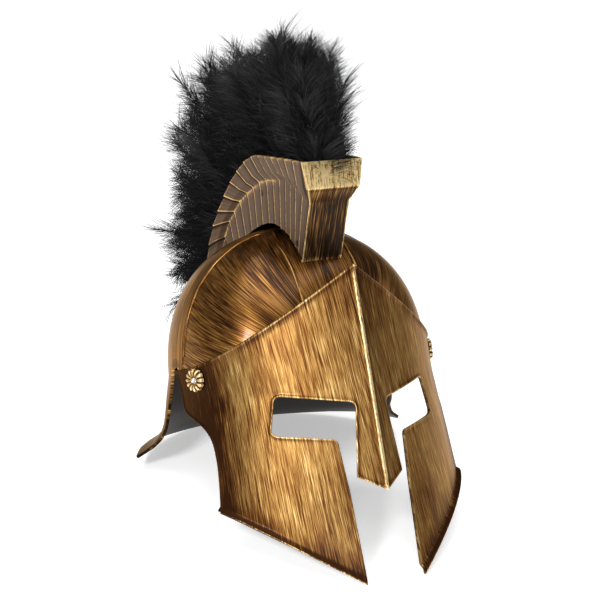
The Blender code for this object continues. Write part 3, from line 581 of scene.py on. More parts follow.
# The low band behind the side beads: its height is a flat-topped hump across it, 0.9 mm high.
lean = np.linspace(-np.pi / 2.0 + 0.02, np.pi / 2.0 - 0.02, 221)
band_x = (DOME_HALF_WIDTH - 0.6 * MM) * np.sin(lean)
behind = np.concatenate([[-0.8], np.linspace(0.0, 0.8, 4), np.linspace(1.6, 13.0, 12),
                         np.linspace(14.0, 15.2, 4), [16.4]]) * MM
hump = 0.9 * MM * smooth_step(behind, -0.4 * MM, 0.8 * MM) * fade(behind, 14.0 * MM, 15.6 * MM)
grid_x, grid_c = np.meshgrid(band_x, behind, indexing="ij")
band_points = over_dome(grid_x, RIB_Y + 1.2 * MM + grid_c)
away = unit(band_points - np.array([0.0, DOME_CENTRE_Y, 0.0]))
band_points = band_points + away * (hump[None, :, None] - 0.12 * MM)
band_edge = np.minimum(np.abs(behind - 0.6 * MM), np.abs(behind - 14.4 * MM))
# Darker along the band's rear edge and behind it, and a little all over.
band_darkening = (0.16 + 0.5 * fade(band_edge, 0.0, 2.4 * MM) * (behind > 13.0 * MM)
             + 0.8 * (behind > 15.0 * MM))
band_rub = 0.35 * fade(np.abs(behind - 13.6 * MM), 0.0, 0.9 * MM)
band = make_piece("dome_band", band_points, grid_quads(len(lean), len(behind)),
                  uv=np.stack([grid_c + 0.5, grid_x * 1.3], axis=-1),
                  values={"wash_and_shade": np.tile(band_darkening, len(lean)),
                          "rub": np.tile(band_rub, len(lean))})
face_out(band, (0.0, DOME_CENTRE_Y, 0.0))
band.data.materials.append(shell_paint)
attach(band, "root")


# Face mask: one thick moulded sheet with a prow down its middle, fixed over the shell's front.
# A T-shaped slot leaves the eyes, nose guard and mouth, its edges are beaded, and the cheeks'
# lower edges turn out into a flange. It is painted gold, brushed downwards, and rubbed pale.

MASK_HALF, MASK_REAR, MASK_RUN = 109.5 * MM, 35.0 * MM, 122.0 * MM
MASK_PROW, MASK_RAKE, RAKE_Z = 2.5, 0.135, -25.0 * MM
PEAK_Z, TOP_REAR_Z = 79.5 * MM, 7.5 * MM
CHEEK_FRONT_Z, CHEEK_REAR_Z, CHEEK_REAR_X = -152.5 * MM, -93.0 * MM, 103.0 * MM
CHEEK_GAP = 24.0 * MM
FLANGE_RUN = 8.0 * MM


def mask_half(z):
    """Half the mask's width at its rear line, which spreads below the eyes."""
    return MASK_HALF + 0.105 * np.maximum(0.0, -14.0 * MM - z)


def mask_surface(t, z):
    """Plan x = half width (1 - t to the power 2.5), raked with height and spread at the cheeks."""
    side, t = np.where(t < 0.0, -1.0, 1.0), np.abs(t)
    x = mask_half(z) * (1.0 - t ** MASK_PROW)
    return np.stack([side * x, MASK_REAR - MASK_RUN * t + MASK_RAKE * (z - RAKE_Z), z], axis=-1)


def bell(value, centre, width):
    """A bell curve of height 1 at the centre: e to the power -((value - centre) / width)^2."""
    return np.exp(-((value - centre) / width) ** 2)


# Across the mask a point is named by its run along the plan curve from the ridge, in metres.
table_t = np.linspace(0.0, 1.02, 900)
table_plan = np.stack([115.0 * MM * (1.0 - table_t ** MASK_PROW), -MASK_RUN * table_t], axis=-1)
table_run = run_along(table_plan)
ridge_run = np.interp(1.0, table_t, table_run)


def run_of(t):
    """Run from the ridge at a place t, which is 1 on the ridge and 0 at the rear line."""
    return ridge_run - np.interp(t, table_t, table_run)


def place_of(run):
    """The place t at a signed run from the ridge, with the run's sign."""
    t = np.interp(ridge_run - np.abs(run), table_run, table_t)
    return np.where(run < 0.0, -t, t)


def cheek_line(t):
    """Height of the crease where the cheek turns out, straight in width from rear to front."""
    share = (1.0 - np.abs(t) ** MASK_PROW) * MASK_HALF / CHEEK_REAR_X
    front = CHEEK_GAP / CHEEK_REAR_X
    return CHEEK_FRONT_Z + (CHEEK_REAR_Z - CHEEK_FRONT_Z) * (share - front) / (1.0 - front)


def place_at_x(x, z):
    """The place t of a point x out from the middle at height z."""
    return np.clip(1.0 - x / mask_half(z), 0.0, 1.0) ** (1.0 / MASK_PROW)


def place_at_y(y, z):
    """The place t of a point at y and height z."""
    return (MASK_REAR + MASK_RAKE * (z - RAKE_Z) - y) / MASK_RUN


slot_edge = rounded(np.array([
    # x, z and the corner's radius round half the T-shaped slot
    (13.0, -24.8, 5.0), (65.0, -15.4, 5.0), (71.0, -45.0, 5.0), (29.0, -51.3, 5.0),
    (26.0, -92.5, 0.0), (24.0, -152.5, 0.0), (24.0, -190.0, 0.0), (-1.0, -190.0, 0.0),
    (-1.0, -92.5, 0.0), (0.0, -92.5, 0.0), (20.0, -80.8, 1.0),
]) * MM, 1.3 * MM)
REAR_EDGE = np.array([
    # places y and z down the rear edge
    (33.6, 9.5), (25.8, -7.4), (21.0, -24.4), (15.5, -27.2), (-1.6, -34.9), (-9.5, -41.9),
    (-14.0, -49.3), (-18.4, -65.1), (-21.4, -83.7), (-24.2, -107.0),
]) * MM


def half_mask_outline():
    """The left half in (run, z), ridge top to nose guard's tip: its top, rear, foot, slot, tip."""
    top_t = np.linspace(1.0, place_at_y(33.6 * MM, 9.0 * MM), 110)
    top_z = PEAK_Z + (TOP_REAR_Z - PEAK_Z) * (1.0 - np.clip(top_t, 0.0, 1.0) ** MASK_PROW)
    top = np.stack([run_of(top_t), top_z], axis=-1)
    spine = run_along(REAR_EDGE)
    rear_y, rear_z = (np.interp(np.linspace(0.0, 1.0, 80) * spine[-1], spine, REAR_EDGE[:, axis])
                      for axis in (0, 1))
    soften = np.ones(7) / 7.0
    rear_y[3:-3] = np.convolve(rear_y, soften, "valid")
    rear_z[3:-3] = np.convolve(rear_z, soften, "valid")
    rear = np.stack([run_of(place_at_y(rear_y, rear_z)), rear_z], axis=-1)
    foot_t = np.linspace(0.0, 1.0, 1200)
    foot_z = np.interp(-rear[:, 0], -run_of(foot_t), cheek_line(foot_t) - FLANGE_RUN)
    rear = rear[rear[:, 1] > foot_z]
    foot_run = np.linspace(rear[-1, 0], run_of(place_at_x(CHEEK_GAP, -160.0 * MM)), 96)
    foot = np.stack([foot_run, cheek_line(place_of(foot_run)) - FLANGE_RUN], axis=-1)
    x, z = slot_edge[:, 0], slot_edge[:, 1]
    keep = (x > 0.0) & (z > CHEEK_FRONT_Z - FLANGE_RUN + 0.9 * MM)
    start = int(np.argmin(np.hypot(x - 24.0 * MM, z + 159.0 * MM)))
    order = (start - np.arange(len(x))) % len(x)
    order = order[keep[order]]
    slot = np.stack([run_of(place_at_x(x[order], z[order])), z[order]], axis=-1)
    parts = [top, rear[1:], foot[1:], slot, np.array([[0.0, -92.5 * MM]])]
    return parts, np.concatenate(parts)


mask_parts, left_outline = half_mask_outline()
mask_outline = np.concatenate([left_outline, (left_outline * [-1.0, 1.0])[-2:0:-1]])


def distance_to(points, line, closed=True):
    """Shortest distance from points to a line of straight runs."""
    a, b = (line, np.roll(line, -1, axis=0)) if closed else (line[:-1], line[1:])
    ab = b - a
    length = np.maximum(np.sum(ab * ab, axis=1), 1e-16)
    best = np.empty(len(points))
    for start in range(0, len(points), 4000):
        ap = points[start:start + 4000][:, None, :] - a[None]
        share = np.clip(np.sum(ap * ab[None], axis=2) / length, 0.0, 1.0)
        gap = np.linalg.norm(ap - ab[None] * share[..., None], axis=2)
        best[start:start + 4000] = np.min(gap, axis=1)
    return best


def well_inside(line, margin):
    """The points of a line inside the mask's outline, further from it than a margin."""
    return line[inside(line, mask_outline) & (distance_to(line, mask_outline) > margin)]


def fill_outline(outline, lines, spacing, offsets):
    """Triangles inside an outline: its own points, rows set in from it, lines and an even grid."""
    run = unit(np.roll(outline, -1, axis=0) - np.roll(outline, 1, axis=0))
    inward = np.stack([-run[:, 1], run[:, 0]], axis=-1)
    if inside(outline + inward * 0.3 * MM, outline).mean() <= 0.5:
        inward = -inward
    rows = []
    for offset in offsets:
        row = outline + inward * offset
        row = row[inside(row, outline)]
        rows.append(row[distance_to(row, outline) > offset * 0.93])
    low, high = outline.min(axis=0), outline.max(axis=0)
    grid_a, grid_b = np.meshgrid(np.arange(low[0], high[0], spacing),
                                 np.arange(low[1], high[1], spacing * 0.87))
    grid_a = grid_a + (np.arange(grid_a.shape[0]) % 2)[:, None] * spacing / 2.0
    grid = np.stack([grid_a, grid_b], axis=-1).reshape(-1, 2)
    grid = grid[inside(grid, outline)]
    grid = grid[distance_to(grid, outline) > offsets[-1] + spacing * 0.55]
    for line in lines:
        grid = grid[distance_to(grid, line, closed=False) > spacing * 0.5]
    edges = [(k, (k + 1) % len(outline)) for k in range(len(outline))]
    start = len(outline)
    for line in lines:
        edges += [(start + k, start + k + 1) for k in range(len(line) - 1)]
        start += len(line)
    flat = np.concatenate([outline, *lines, *rows, grid])
    made = delaunay_2d_cdt([Vector(p) for p in flat.tolist()], edges,
                           [list(range(len(outline)))], 1, 1e-7)
    return np.array([tuple(p) for p in made[0]]), np.array([f for f in made[2] if len(f) == 3])


ridge = np.stack([np.zeros(110), np.linspace(PEAK_Z, -92.5 * MM, 110)], axis=-1)[1:-1]
beside_z = np.linspace(PEAK_Z - 4 * MM, -88.0 * MM, 110)
beside = [well_inside(np.stack([np.full(110, s * gap * MM), beside_z], axis=-1), 0.8 * MM)
          for s in (-1.0, 1.0) for gap in (0.9, 1.8, 2.6, 3.4)]
creases = []
for s in (1.0, -1.0):
    ends = mask_parts[2][0, 0] + 3.0 * MM, mask_parts[2][-1, 0] - 3.0 * MM
    crease_run = np.linspace(*ends, 180) * s
    for lift in (0.9, 0.0, -0.9):
        crease_z = cheek_line(place_of(crease_run)) + lift * MM
        creases.append(well_inside(np.stack([crease_run, crease_z], axis=-1), 0.5 * MM))
mask_2d, mask_faces = fill_outline(mask_outline, [ridge] + beside + creases, 2.0 * MM,
                                   [0.6 * MM, 1.2 * MM, 1.9 * MM, 2.6 * MM, 3.4 * MM, 4.3 * MM])


def mask_shape(flat):
    """The mask's point for (run, z): the raked prow, and below the cheek's crease the flange."""
    run, z = flat[:, 0], flat[:, 1]
    t = place_of(run)
    crease = cheek_line(t)
    below = np.clip((crease - z) / FLANGE_RUN, 0.0, 1.0)
    low = (below > 0.0) & (np.abs(run) > 16.0 * MM)
    below = np.where(low, below, 0.0)
    points = mask_surface(t, np.where(low, crease, z))
    step = 0.002
    size = np.clip(np.abs(t), step, 1.0 - step)
    a, b = mask_surface(size - step, crease), mask_surface(size + step, crease)
    along = a - b
    out = unit(np.stack([along[:, 1], -along[:, 0]], axis=-1))
    side = np.where(run < 0.0, -1.0, 1.0)
    across = 1.0 - np.abs(t) ** MASK_PROW
    drop = (7.0 + across * (2.6 - 7.0)) * MM
    turn_out = 3.6 * MM * (1.0 - (1.0 - below) ** 1.5)
    points[:, 0] += side * out[:, 0] * turn_out
    points[:, 1] += out[:, 1] * turn_out
    points[:, 2] -= drop * below ** 1.15
    return points, below


mask_points, mask_below = mask_shape(mask_2d)
# Raised on the sheet: a thin bead on every edge, a thicker one on the upper edge, the ridge's bar.
run, z = mask_2d.T
nearest = distance_to(mask_2d, mask_outline)
upper = np.concatenate([mask_parts[0][::-1], (mask_parts[0] * [-1.0, 1.0])[1:]])
upper_gap = distance_to(mask_2d, upper, closed=False)
ridge_gap = np.abs(run)
off_upper = upper_gap > 3.5 * MM
edge_bead = 0.55 * MM * bell(nearest, 0.9 * MM, 0.85 * MM) * off_upper
upper_bead = 1.3 * MM * bell(upper_gap, 1.5 * MM, 1.45 * MM)
ridge_bar = 0.9 * MM * np.exp(-(ridge_gap / (1.9 * MM)) ** 4) * (z < PEAK_Z - 1 * MM)
step = 0.0004
along_run = mask_shape(mask_2d + [step, 0.0])[0] - mask_points
along_z = mask_shape(mask_2d + [0.0, step])[0] - mask_points
normal = unit(np.cross(along_run, along_z))
facing = np.sign(np.sum(normal * (mask_points - np.array([0.0, 0.06, -0.03])), axis=1))
normal *= facing[:, None]
normal[ridge_gap < 0.3 * MM] = [0.0, -0.991, 0.134]
mask_points = mask_points + normal * (edge_bead + upper_bead + ridge_bar)[:, None]

# Darker at the temples, cheeks, flange and edges, with painted shade at the peak and in a line
# under the upper bead. Beads and the flange's lip are rubbed.
rosette_run = run_of(place_at_y(4.0 * MM, 0.0))
from_rosette = np.hypot(ridge_gap - rosette_run, z)
peak_shade = bell(ridge_gap, 13 * MM, 15 * MM) * smooth_step(z, 5 * MM, 60 * MM)
temple = smooth_step(ridge_gap, rosette_run - 38 * MM, rosette_run - 4 * MM)
rear_gap = distance_to(np.stack([ridge_gap, z], axis=-1), mask_parts[1], closed=False)
cheek_shade = fade(z - cheek_line(place_of(run)), 0.0, 24 * MM) * (ridge_gap > 18 * MM)
flange = smooth_step(mask_below, 0.02, 0.25) * fade(mask_below, 0.78, 0.97)
# Painted shade: peak_shade, and the bell 3.2 mm below the upper edge, under its bead.
mask_wash_and_shade = (0.95 * temple * (1.0 - 0.55 * fade(from_rosette, 0.0, 8 * MM))
             + 0.34 * peak_shade + 0.34 * cheek_shade ** 2 + 0.62 * flange
             + 0.20 * fade(nearest, 1.0 * MM, 6.0 * MM) + 0.16 * bell(upper_gap, 3.2 * MM, 1.2 * MM)
             + 0.22 * fade(rear_gap, 4 * MM, 26 * MM) + 0.35 * bell(ridge_gap, 3.0 * MM, 1.2 * MM))
mask_rub = (0.50 * bell(nearest, 0.5 * MM, 0.55 * MM) * off_upper
            + 0.55 * bell(upper_gap, 0.9 * MM, 0.60 * MM)
            + 0.45 * smooth_step(mask_below, 0.80, 0.97)
            + 0.85 * np.exp(-(ridge_gap / (1.35 * MM)) ** 4))
mask_uv = np.stack([run + 0.10 * z, z], axis=-1)

GOLD_STOPS = [
    (0.00, (0.026, 0.008, 0.002)),
    (0.18, (0.080, 0.026, 0.005)),
    (0.36, (0.142, 0.061, 0.014)),
    (0.54, (0.268, 0.144, 0.040)),
    (0.74, (0.445, 0.280, 0.096)),
    (1.00, (0.840, 0.650, 0.360)),
]
mask_paint = painted_plastic("gold_paint", GOLD_STOPS, 0.28, 0.85, contrast=0.88, coat=0.14)
face_mask = make_piece("face_mask_painted", mask_points, mask_faces, uv=mask_uv,
                       values={"wash_and_shade": mask_wash_and_shade, "rub": mask_rub})
face_out(face_mask, (0.0, 0.06, -0.03))
face_mask.data.materials.append(mask_paint)
face_mask.data.materials.append(bare_inside)
give_wall(face_mask, 2.6 * MM)
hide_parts("face_mask")
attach(face_mask, "root")


# Rosettes: flower-shaped heads of the two rivets that hold the mask to the shell at the temples.
# Each is cast with twelve petals round a domed boss, painted bright gold and dark in its grooves.

rosette_paint = painted_plastic("bright_gold_paint", [
    (0.00, (0.020, 0.010, 0.004)),
    (0.30, (0.220, 0.120, 0.040)),
    (0.55, (0.620, 0.400, 0.150)),
    (1.00, (0.930, 0.800, 0.560)),
], 0.2, 0.75, contrast=0.5)
boss_paint, _, shader = speckled_plastic(
    "silver_boss", 1200.0, 3.0, [(0.3, (0.42, 0.38, 0.32)), (0.7, (0.86, 0.85, 0.82))], 0.22)
shader.inputs["Metallic"].default_value = 0.85

ROSETTE_RADIUS, PETALS = 9.2 * MM, 12
seat_t = place_at_y(4.0 * MM, 0.0)
seat = mask_surface(np.array([seat_t]), np.array([0.0]))[0]
seat_along = seat - mask_surface(np.array([seat_t + 0.01]), np.array([0.0]))[0]
seat_axis = unit(np.array([seat_along[1], -seat_along[0], 0.0]))
radial = np.linspace(0.0, 1.0, 46)
angle = np.linspace(0.0, 2.0 * np.pi, 193)[:-1]
grid_r, grid_a = np.meshgrid(radial, angle, indexing="ij")
petal = np.abs(np.cos(grid_a * PETALS / 2.0))
rim_share = 1.0 - 0.13 * (1.0 - petal) ** 1.5
dish = 1.5 * np.sin(np.clip((grid_r - 0.28) / 0.72, 0.0, 1.0) * np.pi) ** 0.8
groove = 1.25 * (1.0 - petal ** 0.6) * smooth_step(grid_r, 0.30, 0.45)
vein = 0.35 * np.cos(grid_a * PETALS * 3.0) * smooth_step(grid_r, 0.4, 0.6) * petal
boss = 3.4 * np.sqrt(np.clip(1.0 - (grid_r / 0.27) ** 2, 0.0, 1.0))
skirt = 1.8 * fade(grid_r, 0.93, 1.0) + 0.1
lift = np.maximum(boss + 1.2 * (grid_r < 0.27), (skirt + dish - groove + vein) * (grid_r >= 0.2))
for s, label in ((1.0, "left"), (-1.0, "right")):
    out = seat_axis * [s, 1.0, 1.0]
    east = np.cross([0.0, 0.0, 1.0], out)
    reach = ROSETTE_RADIUS * grid_r * rim_share
    flat_x, flat_z = reach * np.cos(grid_a), reach * np.sin(grid_a)
    points = (seat * [s, 1.0, 1.0] + out * 0.5 * MM + east * flat_x[..., None]
              + np.array([0.0, 0.0, 1.0]) * flat_z[..., None] + out * (lift * MM)[..., None])
    wash_and_shade = (0.75 * (1.0 - petal ** 0.7) * smooth_step(grid_r, 0.30, 0.45)
            + 0.8 * bell(grid_r, 0.30, 0.05))
    rub = 0.45 * smooth_step(petal, 0.5, 0.95) * smooth_step(grid_r, 0.5, 0.8)
    head = make_piece("rosette_head_" + label, points, grid_quads(46, 192, closed=True),
                      uv=np.stack([flat_x, flat_z], axis=-1), values={"wash_and_shade": wash_and_shade, "rub": rub})
    face_out(head, seat * [s, 1.0, 1.0] - out * 0.01)
    head.data.materials.append(rosette_paint)
    head.data.materials.append(boss_paint)
    inner = np.repeat(radial[:-1] < 0.25, 192).astype(np.int32)
    head.data.polygons.foreach_set("material_index", inner)
    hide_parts("rosette_" + label)
    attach(head, "root")


# Crest holder: a moulded channel that stands on the crown and carries the plume.
# Its sides are ribbed with overlapping slats, bent along a crease below the flared lip, in
# taupe plastic rubbed with gold on the edges. Its front is brushed gold over a dark brown.

CREST_FRONT, CREST_RUN, CREST_RISE = -54.7 * MM, 192.0 * MM, 60.0 * MM
CREST_LEVELS = np.array([
    # (share of the run, share of the rise) of the foot, the neck and the rim, front to rear
    ((0.166, -0.469), (0.051, 0.290), (0.000, 0.816)),
    ((0.215, -0.356), (0.155, 0.510), (0.140, 0.887)),
    ((0.290, -0.177), (0.245, 0.619), (0.270, 0.942)),
    ((0.400, -0.064), (0.385, 0.656), (0.415, 1.000)),
    ((0.470, -0.055), (0.462, 0.647), (0.500, 0.953)),
    ((0.540, -0.083), (0.540, 0.572), (0.593, 0.823)),
    ((0.600, -0.130), (0.613, 0.501), (0.680, 0.661)),
    ((0.660, -0.205), (0.690, 0.402), (0.748, 0.491)),
    ((0.720, -0.300), (0.750, 0.275), (0.820, 0.298)),
    ((0.780, -0.413), (0.814, 0.134), (0.892, 0.075)),
    ((0.830, -0.544), (0.884, -0.125), (0.960, -0.234)),
    ((0.860, -0.676), (0.922, -0.394), (1.000, -0.544)),
])
levels_yz = CREST_LEVELS * [CREST_RUN, CREST_RISE] + [CREST_FRONT, 111.0 * MM]
FOOT_HALF, NECK_HALF, LIP_HALF, RIM_HALF = 17.4 * MM, 17.6 * MM, 22.7 * MM, 27.0 * MM
crest_rim = CREST_LEVELS[:, 2, 0]


def crest_line(share):
    """Foot, neck and rim in (y, z) at a share of the rim's run, as rows of three points."""
    lines = [[np.interp(share, crest_rim, levels_yz[:, k, axis]) for axis in (0, 1)]
             for k in range(3)]
    return np.moveaxis(np.array(lines), -1, 0)


def crest_drop(share, down, front):
    """Half width, y and z at a share of the run, down 0 at the rim, 1 the lip, 2 the neck."""
    foot, neck, rim = (crest_line(share)[:, k] for k in range(3))
    lip = neck + (rim - neck) / 3.0
    lip = np.where(front[:, None], np.stack([rim[:, 0], lip[:, 1]], axis=-1), lip)
    foot = foot + unit(foot - neck) * 9.0 * MM
    chain = np.stack([rim, lip, neck, foot], axis=1)
    widths = np.array([RIM_HALF, LIP_HALF, NECK_HALF, FOOT_HALF])
    k = np.minimum(down.astype(int), 2)
    part = (down - k)[:, None]
    index = np.arange(len(share))
    yz = chain[index, k] * (1.0 - part) + chain[index, k + 1] * part
    half = widths[k] * (1.0 - part[:, 0]) + widths[k + 1] * part[:, 0]
    return half, yz[:, 0], yz[:, 1]


# Columns run round the holder: half the front, the side's slats, then half the rear.
SLATS = np.array([0.0, 0.07, 0.142, 0.205, 0.262, 0.320, 0.380, 0.445, 0.52, 0.595, 0.67, 0.745,
                  0.82, 0.885, 0.945, 1.0])
TOOTH = np.array([
    # (share across a slat, height in mm, wash, rub)
    (0.02, -0.60, 1.60, 0.00), (0.09, -0.30, 1.20, 0.00), (0.16, 0.10, 0.15, 0.00),
    (0.40, 0.35, 0.00, 0.00), (0.70, 0.70, 0.00, 0.05), (0.86, 0.88, 0.00, 0.10),
    (0.915, 1.00, 0.00, 1.00), (0.955, 0.85, 0.00, 0.75), (0.985, -0.20, 1.40, 0.00),
])
side_share = (SLATS[:-1, None] + np.diff(SLATS)[:, None] * TOOTH[None, :, 0]).ravel()
side_share = np.concatenate([side_share, [1.0]])
tooth_rows = np.concatenate([np.tile(TOOTH[:, 1:], (len(SLATS) - 1, 1)), [[0.0, 0.4, 0.4]]])
front_cols = np.linspace(0.0, 1.0, 25)[:-1]
corner_cols = np.array([0.965, 1.0])
column_share = np.concatenate([np.zeros(26), side_share, np.ones(9)])
column_wide = np.concatenate([front_cols, corner_cols, np.ones(len(side_share)),
                              np.linspace(0.95, 0.0, 9)])
column_lift = np.concatenate([np.zeros(26), tooth_rows[:, 0], np.zeros(9)]) * MM
column_wash = np.concatenate([np.zeros(26), tooth_rows[:, 1], np.full(9, 0.3)])
column_rub = np.concatenate([np.zeros(26), tooth_rows[:, 2], np.zeros(9)])
column_front = np.concatenate([np.ones(27, bool), np.zeros(len(column_share) - 27, bool)])
columns = len(column_share)

# Each column ends where it meets the dome, or the arch cut in the side above the crown.
arch_front = CREST_FRONT + 2.4 * MM
arch_rear = CREST_FRONT + 0.655 * CREST_RUN
arch_share = np.array([0.0, 0.12, 0.25, 0.40, 0.55, 0.66, 0.8, 0.92, 1.0])
arch_y = arch_front + (arch_rear - arch_front) * arch_share
crown_z = dome_height_at(np.zeros(9), arch_y)
arch_top = np.array([2.5, 4.2, 5.2, 6.4, 6.8, 5.8, 3.6, 1.4, 0.2]) * MM + crown_z
probe = np.linspace(2.0, 3.0, 240)
end_down = np.empty(columns)
for k in range(columns):
    half, y, z = crest_drop(np.full(240, column_share[k]), probe, np.full(240, column_front[k]))
    floor_z = dome_height_at(half * column_wide[k], y, 0.3 * MM)
    arched = (column_wide[k] == 1.0) & (y > arch_front) & (y < arch_rear) & (column_share[k] > 0.0)
    floor_z = np.where(arched, np.maximum(floor_z, np.interp(y, arch_y, arch_top)), floor_z)
    under = z < floor_z
    end_down[k] = probe[int(np.argmax(under))] if under.any() else 3.0
row_names = np.concatenate([np.linspace(0.0, 0.94, 8), [1.0, 1.06], np.linspace(1.15, 1.94, 6),
                            [2.0, 2.06], np.linspace(2.15, 3.0, 22)])
crest_rows, wash_rows, rub_rows, uv_rows = [], [], [], []
side = (column_wide == 1.0) & ~column_front
for name in row_names:
    down = np.where(name > 2.0, 2.0 + (name - 2.0) * (end_down - 2.0), name)
    half, y, z = crest_drop(column_share, down, column_front)
    crease = (bell(name, 2.0, 0.08) * smooth_step(column_share, 0.26, 0.42) * ~column_front
              + 0.5 * bell(name, 1.0, 0.05) * column_front)
    x = half * column_wide + (column_lift + 0.75 * MM * crease) * side
    rim_line, foot_line = bell(name, 0.0, 0.06), smooth_step(name, 2.93, 3.0)
    corner = bell((1.0 - column_wide) * half, 0.0, 0.9 * MM)
    lower = smooth_step(name, 1.1, 2.1) * 0.36 + smooth_step(name, 2.3, 2.9) * 0.28
    seam = 0.9 * (column_wide < 0.01) * (name < 1.5)
    front_wash = seam + lower * (1.0 - 0.8 * corner) + 0.25 * bell(name, 1.16, 0.1)
    front_rub = (0.9 * corner + 0.8 * foot_line + 0.5 * rim_line + 0.55 * bell(name, 1.0, 0.07)
                 + 0.70 * (name < 1.0))
    side_rub = column_rub + 0.60 * crease + 0.25 * foot_line + 0.5 * rim_line
    strokes_at = np.where(column_front, half * column_wide, column_share * CREST_RUN + 0.4)
    crest_rows.append(np.stack([x, y, z], axis=-1))
    wash_rows.append(np.where(column_front, front_wash, column_wash * (1.0 - 0.6 * crease)))
    rub_rows.append(np.where(column_front, front_rub, side_rub))
    uv_rows.append(np.stack([strokes_at, z], axis=-1))


def both_halves(rows, flip=1.0):
    """Rows round half the holder, each closed by its mirror image, whose values are times flip."""
    half = np.stack(rows)
    return np.concatenate([half, (half * flip)[:, -2:0:-1]], axis=1)


crest_points = both_halves(crest_rows, [-1.0, 1.0, 1.0])

taupe_paint = painted_plastic("taupe_plastic_rubbed_gold", [
    (0.00, (0.008, 0.005, 0.003)),
    (0.26, (0.036, 0.019, 0.011)),
    (0.50, (0.080, 0.047, 0.030)),
    (0.72, (0.108, 0.067, 0.044)),
    (0.86, (0.330, 0.185, 0.055)),
    (1.00, (0.680, 0.440, 0.170)),
], 0.40, 0.3, contrast=0.34, bump=0.05, coat=0.05)
crest_gold = painted_plastic("crest_front_gold", [
    (0.00, (0.010, 0.006, 0.004)),
    (0.20, (0.056, 0.024, 0.008)),
    (0.40, (0.150, 0.066, 0.017)),
    (0.58, (0.310, 0.170, 0.052)),
    (0.78, (0.600, 0.385, 0.140)),
    (1.00, (0.960, 0.730, 0.360)),
], 0.30, 0.75, contrast=1.1, coat=0.10)
crest = make_piece("crest_holder_painted", crest_points,
                   grid_quads(len(crest_rows), crest_points.shape[1], closed=True),
                   uv=both_halves(uv_rows, [-1.0, 1.0]),
                   values={"wash_and_shade": both_halves(wash_rows), "rub": both_halves(rub_rows)})
face_out(crest, (0.0, 0.02, 0.12))
for paint in (taupe_paint, crest_gold, bare_inside):
    crest.data.materials.append(paint)
ring_front = column_front[:-1] & column_front[1:]
ring_front = np.concatenate([ring_front, ring_front[::-1]]).astype(np.int32)
crest.data.polygons.foreach_set("material_index", np.tile(ring_front, len(crest_rows) - 1))
give_wall(crest, 2.0 * MM, 0.25 * MM)
crest.modifiers["wall"].material_offset = 2
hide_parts("crest_holder")
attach(crest, "root")

# The channel's floor, at the height of the necks, and dark boxes of painted shadow for the small
# slots in the sides.
web_share = np.linspace(0.012, 0.99, 60)
web_line = crest_line(web_share)[:, 1]
web_x = np.linspace(-16.2, 16.2, 9) * MM
web_points = np.concatenate([
    np.stack([np.broadcast_to(web_x, (60, 9)), np.broadcast_to(web_line[:, None, 0], (60, 9)),
              np.broadcast_to(web_line[:, None, 1] - drop, (60, 9))], axis=-1)
    for drop in (0.0, 2.4 * MM)], axis=1)
loop = np.concatenate([np.arange(9), 9 + np.arange(9)[::-1]])
web_points = web_points[:, loop]
web = make_piece("crest_channel_floor", web_points, grid_quads(60, 18, closed=True),
                 uv=web_points[..., :2], values={"wash_and_shade": np.full((60, 18), 0.7)})
face_out(web, (0.0, 0.03, 0.10))
web.data.materials.append(taupe_paint)
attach(web, "root")

hole_dark, _, _ = speckled_plastic(
    "slot_shadow", 1500.0, 3.0, [(0.0, (0.002, 0.002, 0.001)), (1.0, (0.012, 0.008, 0.006))], 0.6)
slots = []
for along, rise in ((0.464, 0.491), (0.163, 0.426), (0.186, -0.210)):
    for s in (1.0, -1.0):
        y, z = CREST_FRONT + CREST_RUN * along, 111.0 * MM + CREST_RISE * rise
        slots.append([(s * (17.6 + out) * MM, y + a * 0.7 * MM, z + b * 2.3 * MM)
                      for out in (0.2, 1.05) for a, b in ((-1, -1), (1, -1), (1, 1), (-1, 1))])
box = np.array([(0, 1, 2, 3), (4, 7, 6, 5), (0, 4, 5, 1), (1, 5, 6, 2), (2, 6, 7, 3), (3, 7, 4, 0)])
boxes = np.concatenate([box + 8 * k for k in range(len(slots))])
marks = make_piece("crest_slots", slots, boxes)
marks.data.shade_flat()
marks.data.materials.append(hole_dark)
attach(marks, "root")


# Plume: black marabou feathers packed in rows into the channel, leaning out from the crown.
# Each feather is a curved quill with soft barbs on both sides, and the barbs end in loose down.
# They are dyed black, with painted shade at their roots, which are glued to a bar that fills the
# channel.

rng = np.random.default_rng(11)
LOCKS = np.array([
    # (share of the way along the crest, lean to the back in degrees, share of the length)
    (0.07, 2.0, 0.72), (0.18, 0.0, 0.88), (0.30, -1.0, 1.00), (0.41, 6.0, 0.95),
    (0.51, 16.0, 1.02), (0.61, 26.0, 1.10), (0.71, 38.0, 1.06), (0.80, 52.0, 0.98),
    (0.88, 70.0, 0.80), (0.94, 90.0, 0.74), (0.975, 112.0, 0.80),
])
web_steps = run_along(levels_yz[:, 1])


def root_place(share):
    """A root in the channel at a share of the necks' line, in (y, z), and the way up from it."""
    line = levels_yz[:, 1]
    near = [np.array([np.interp(np.clip(at, 0.0, 1.0) * web_steps[-1], web_steps, line[:, k])
                      for k in (0, 1)]) for at in (share - 0.02, share, share + 0.02)]
    ahead = near[2] - near[0]
    up = np.array([-ahead[1], ahead[0]])
    return near[1], up / np.linalg.norm(up)


def plume_axis(share, sideways, reach_share):
    """Root, direction and length of a feather; sideways runs from -1 to 1 across the plume."""
    here, up = root_place(share)
    lean = np.radians(np.interp(share, LOCKS[:, 0], LOCKS[:, 1]))
    length = 122.0 * MM * np.interp(share, LOCKS[:, 0], LOCKS[:, 2]) * reach_share
    spread = np.radians(10.5) * sideways
    flat = np.cos(spread)
    direction = np.array([np.sin(spread), np.sin(lean) * flat, np.cos(lean) * flat])
    root = np.array([sideways * 5.5 * MM, *(here + up * 5.4 * MM)])
    return root, direction, length * (1.0 - 0.08 * abs(sideways))


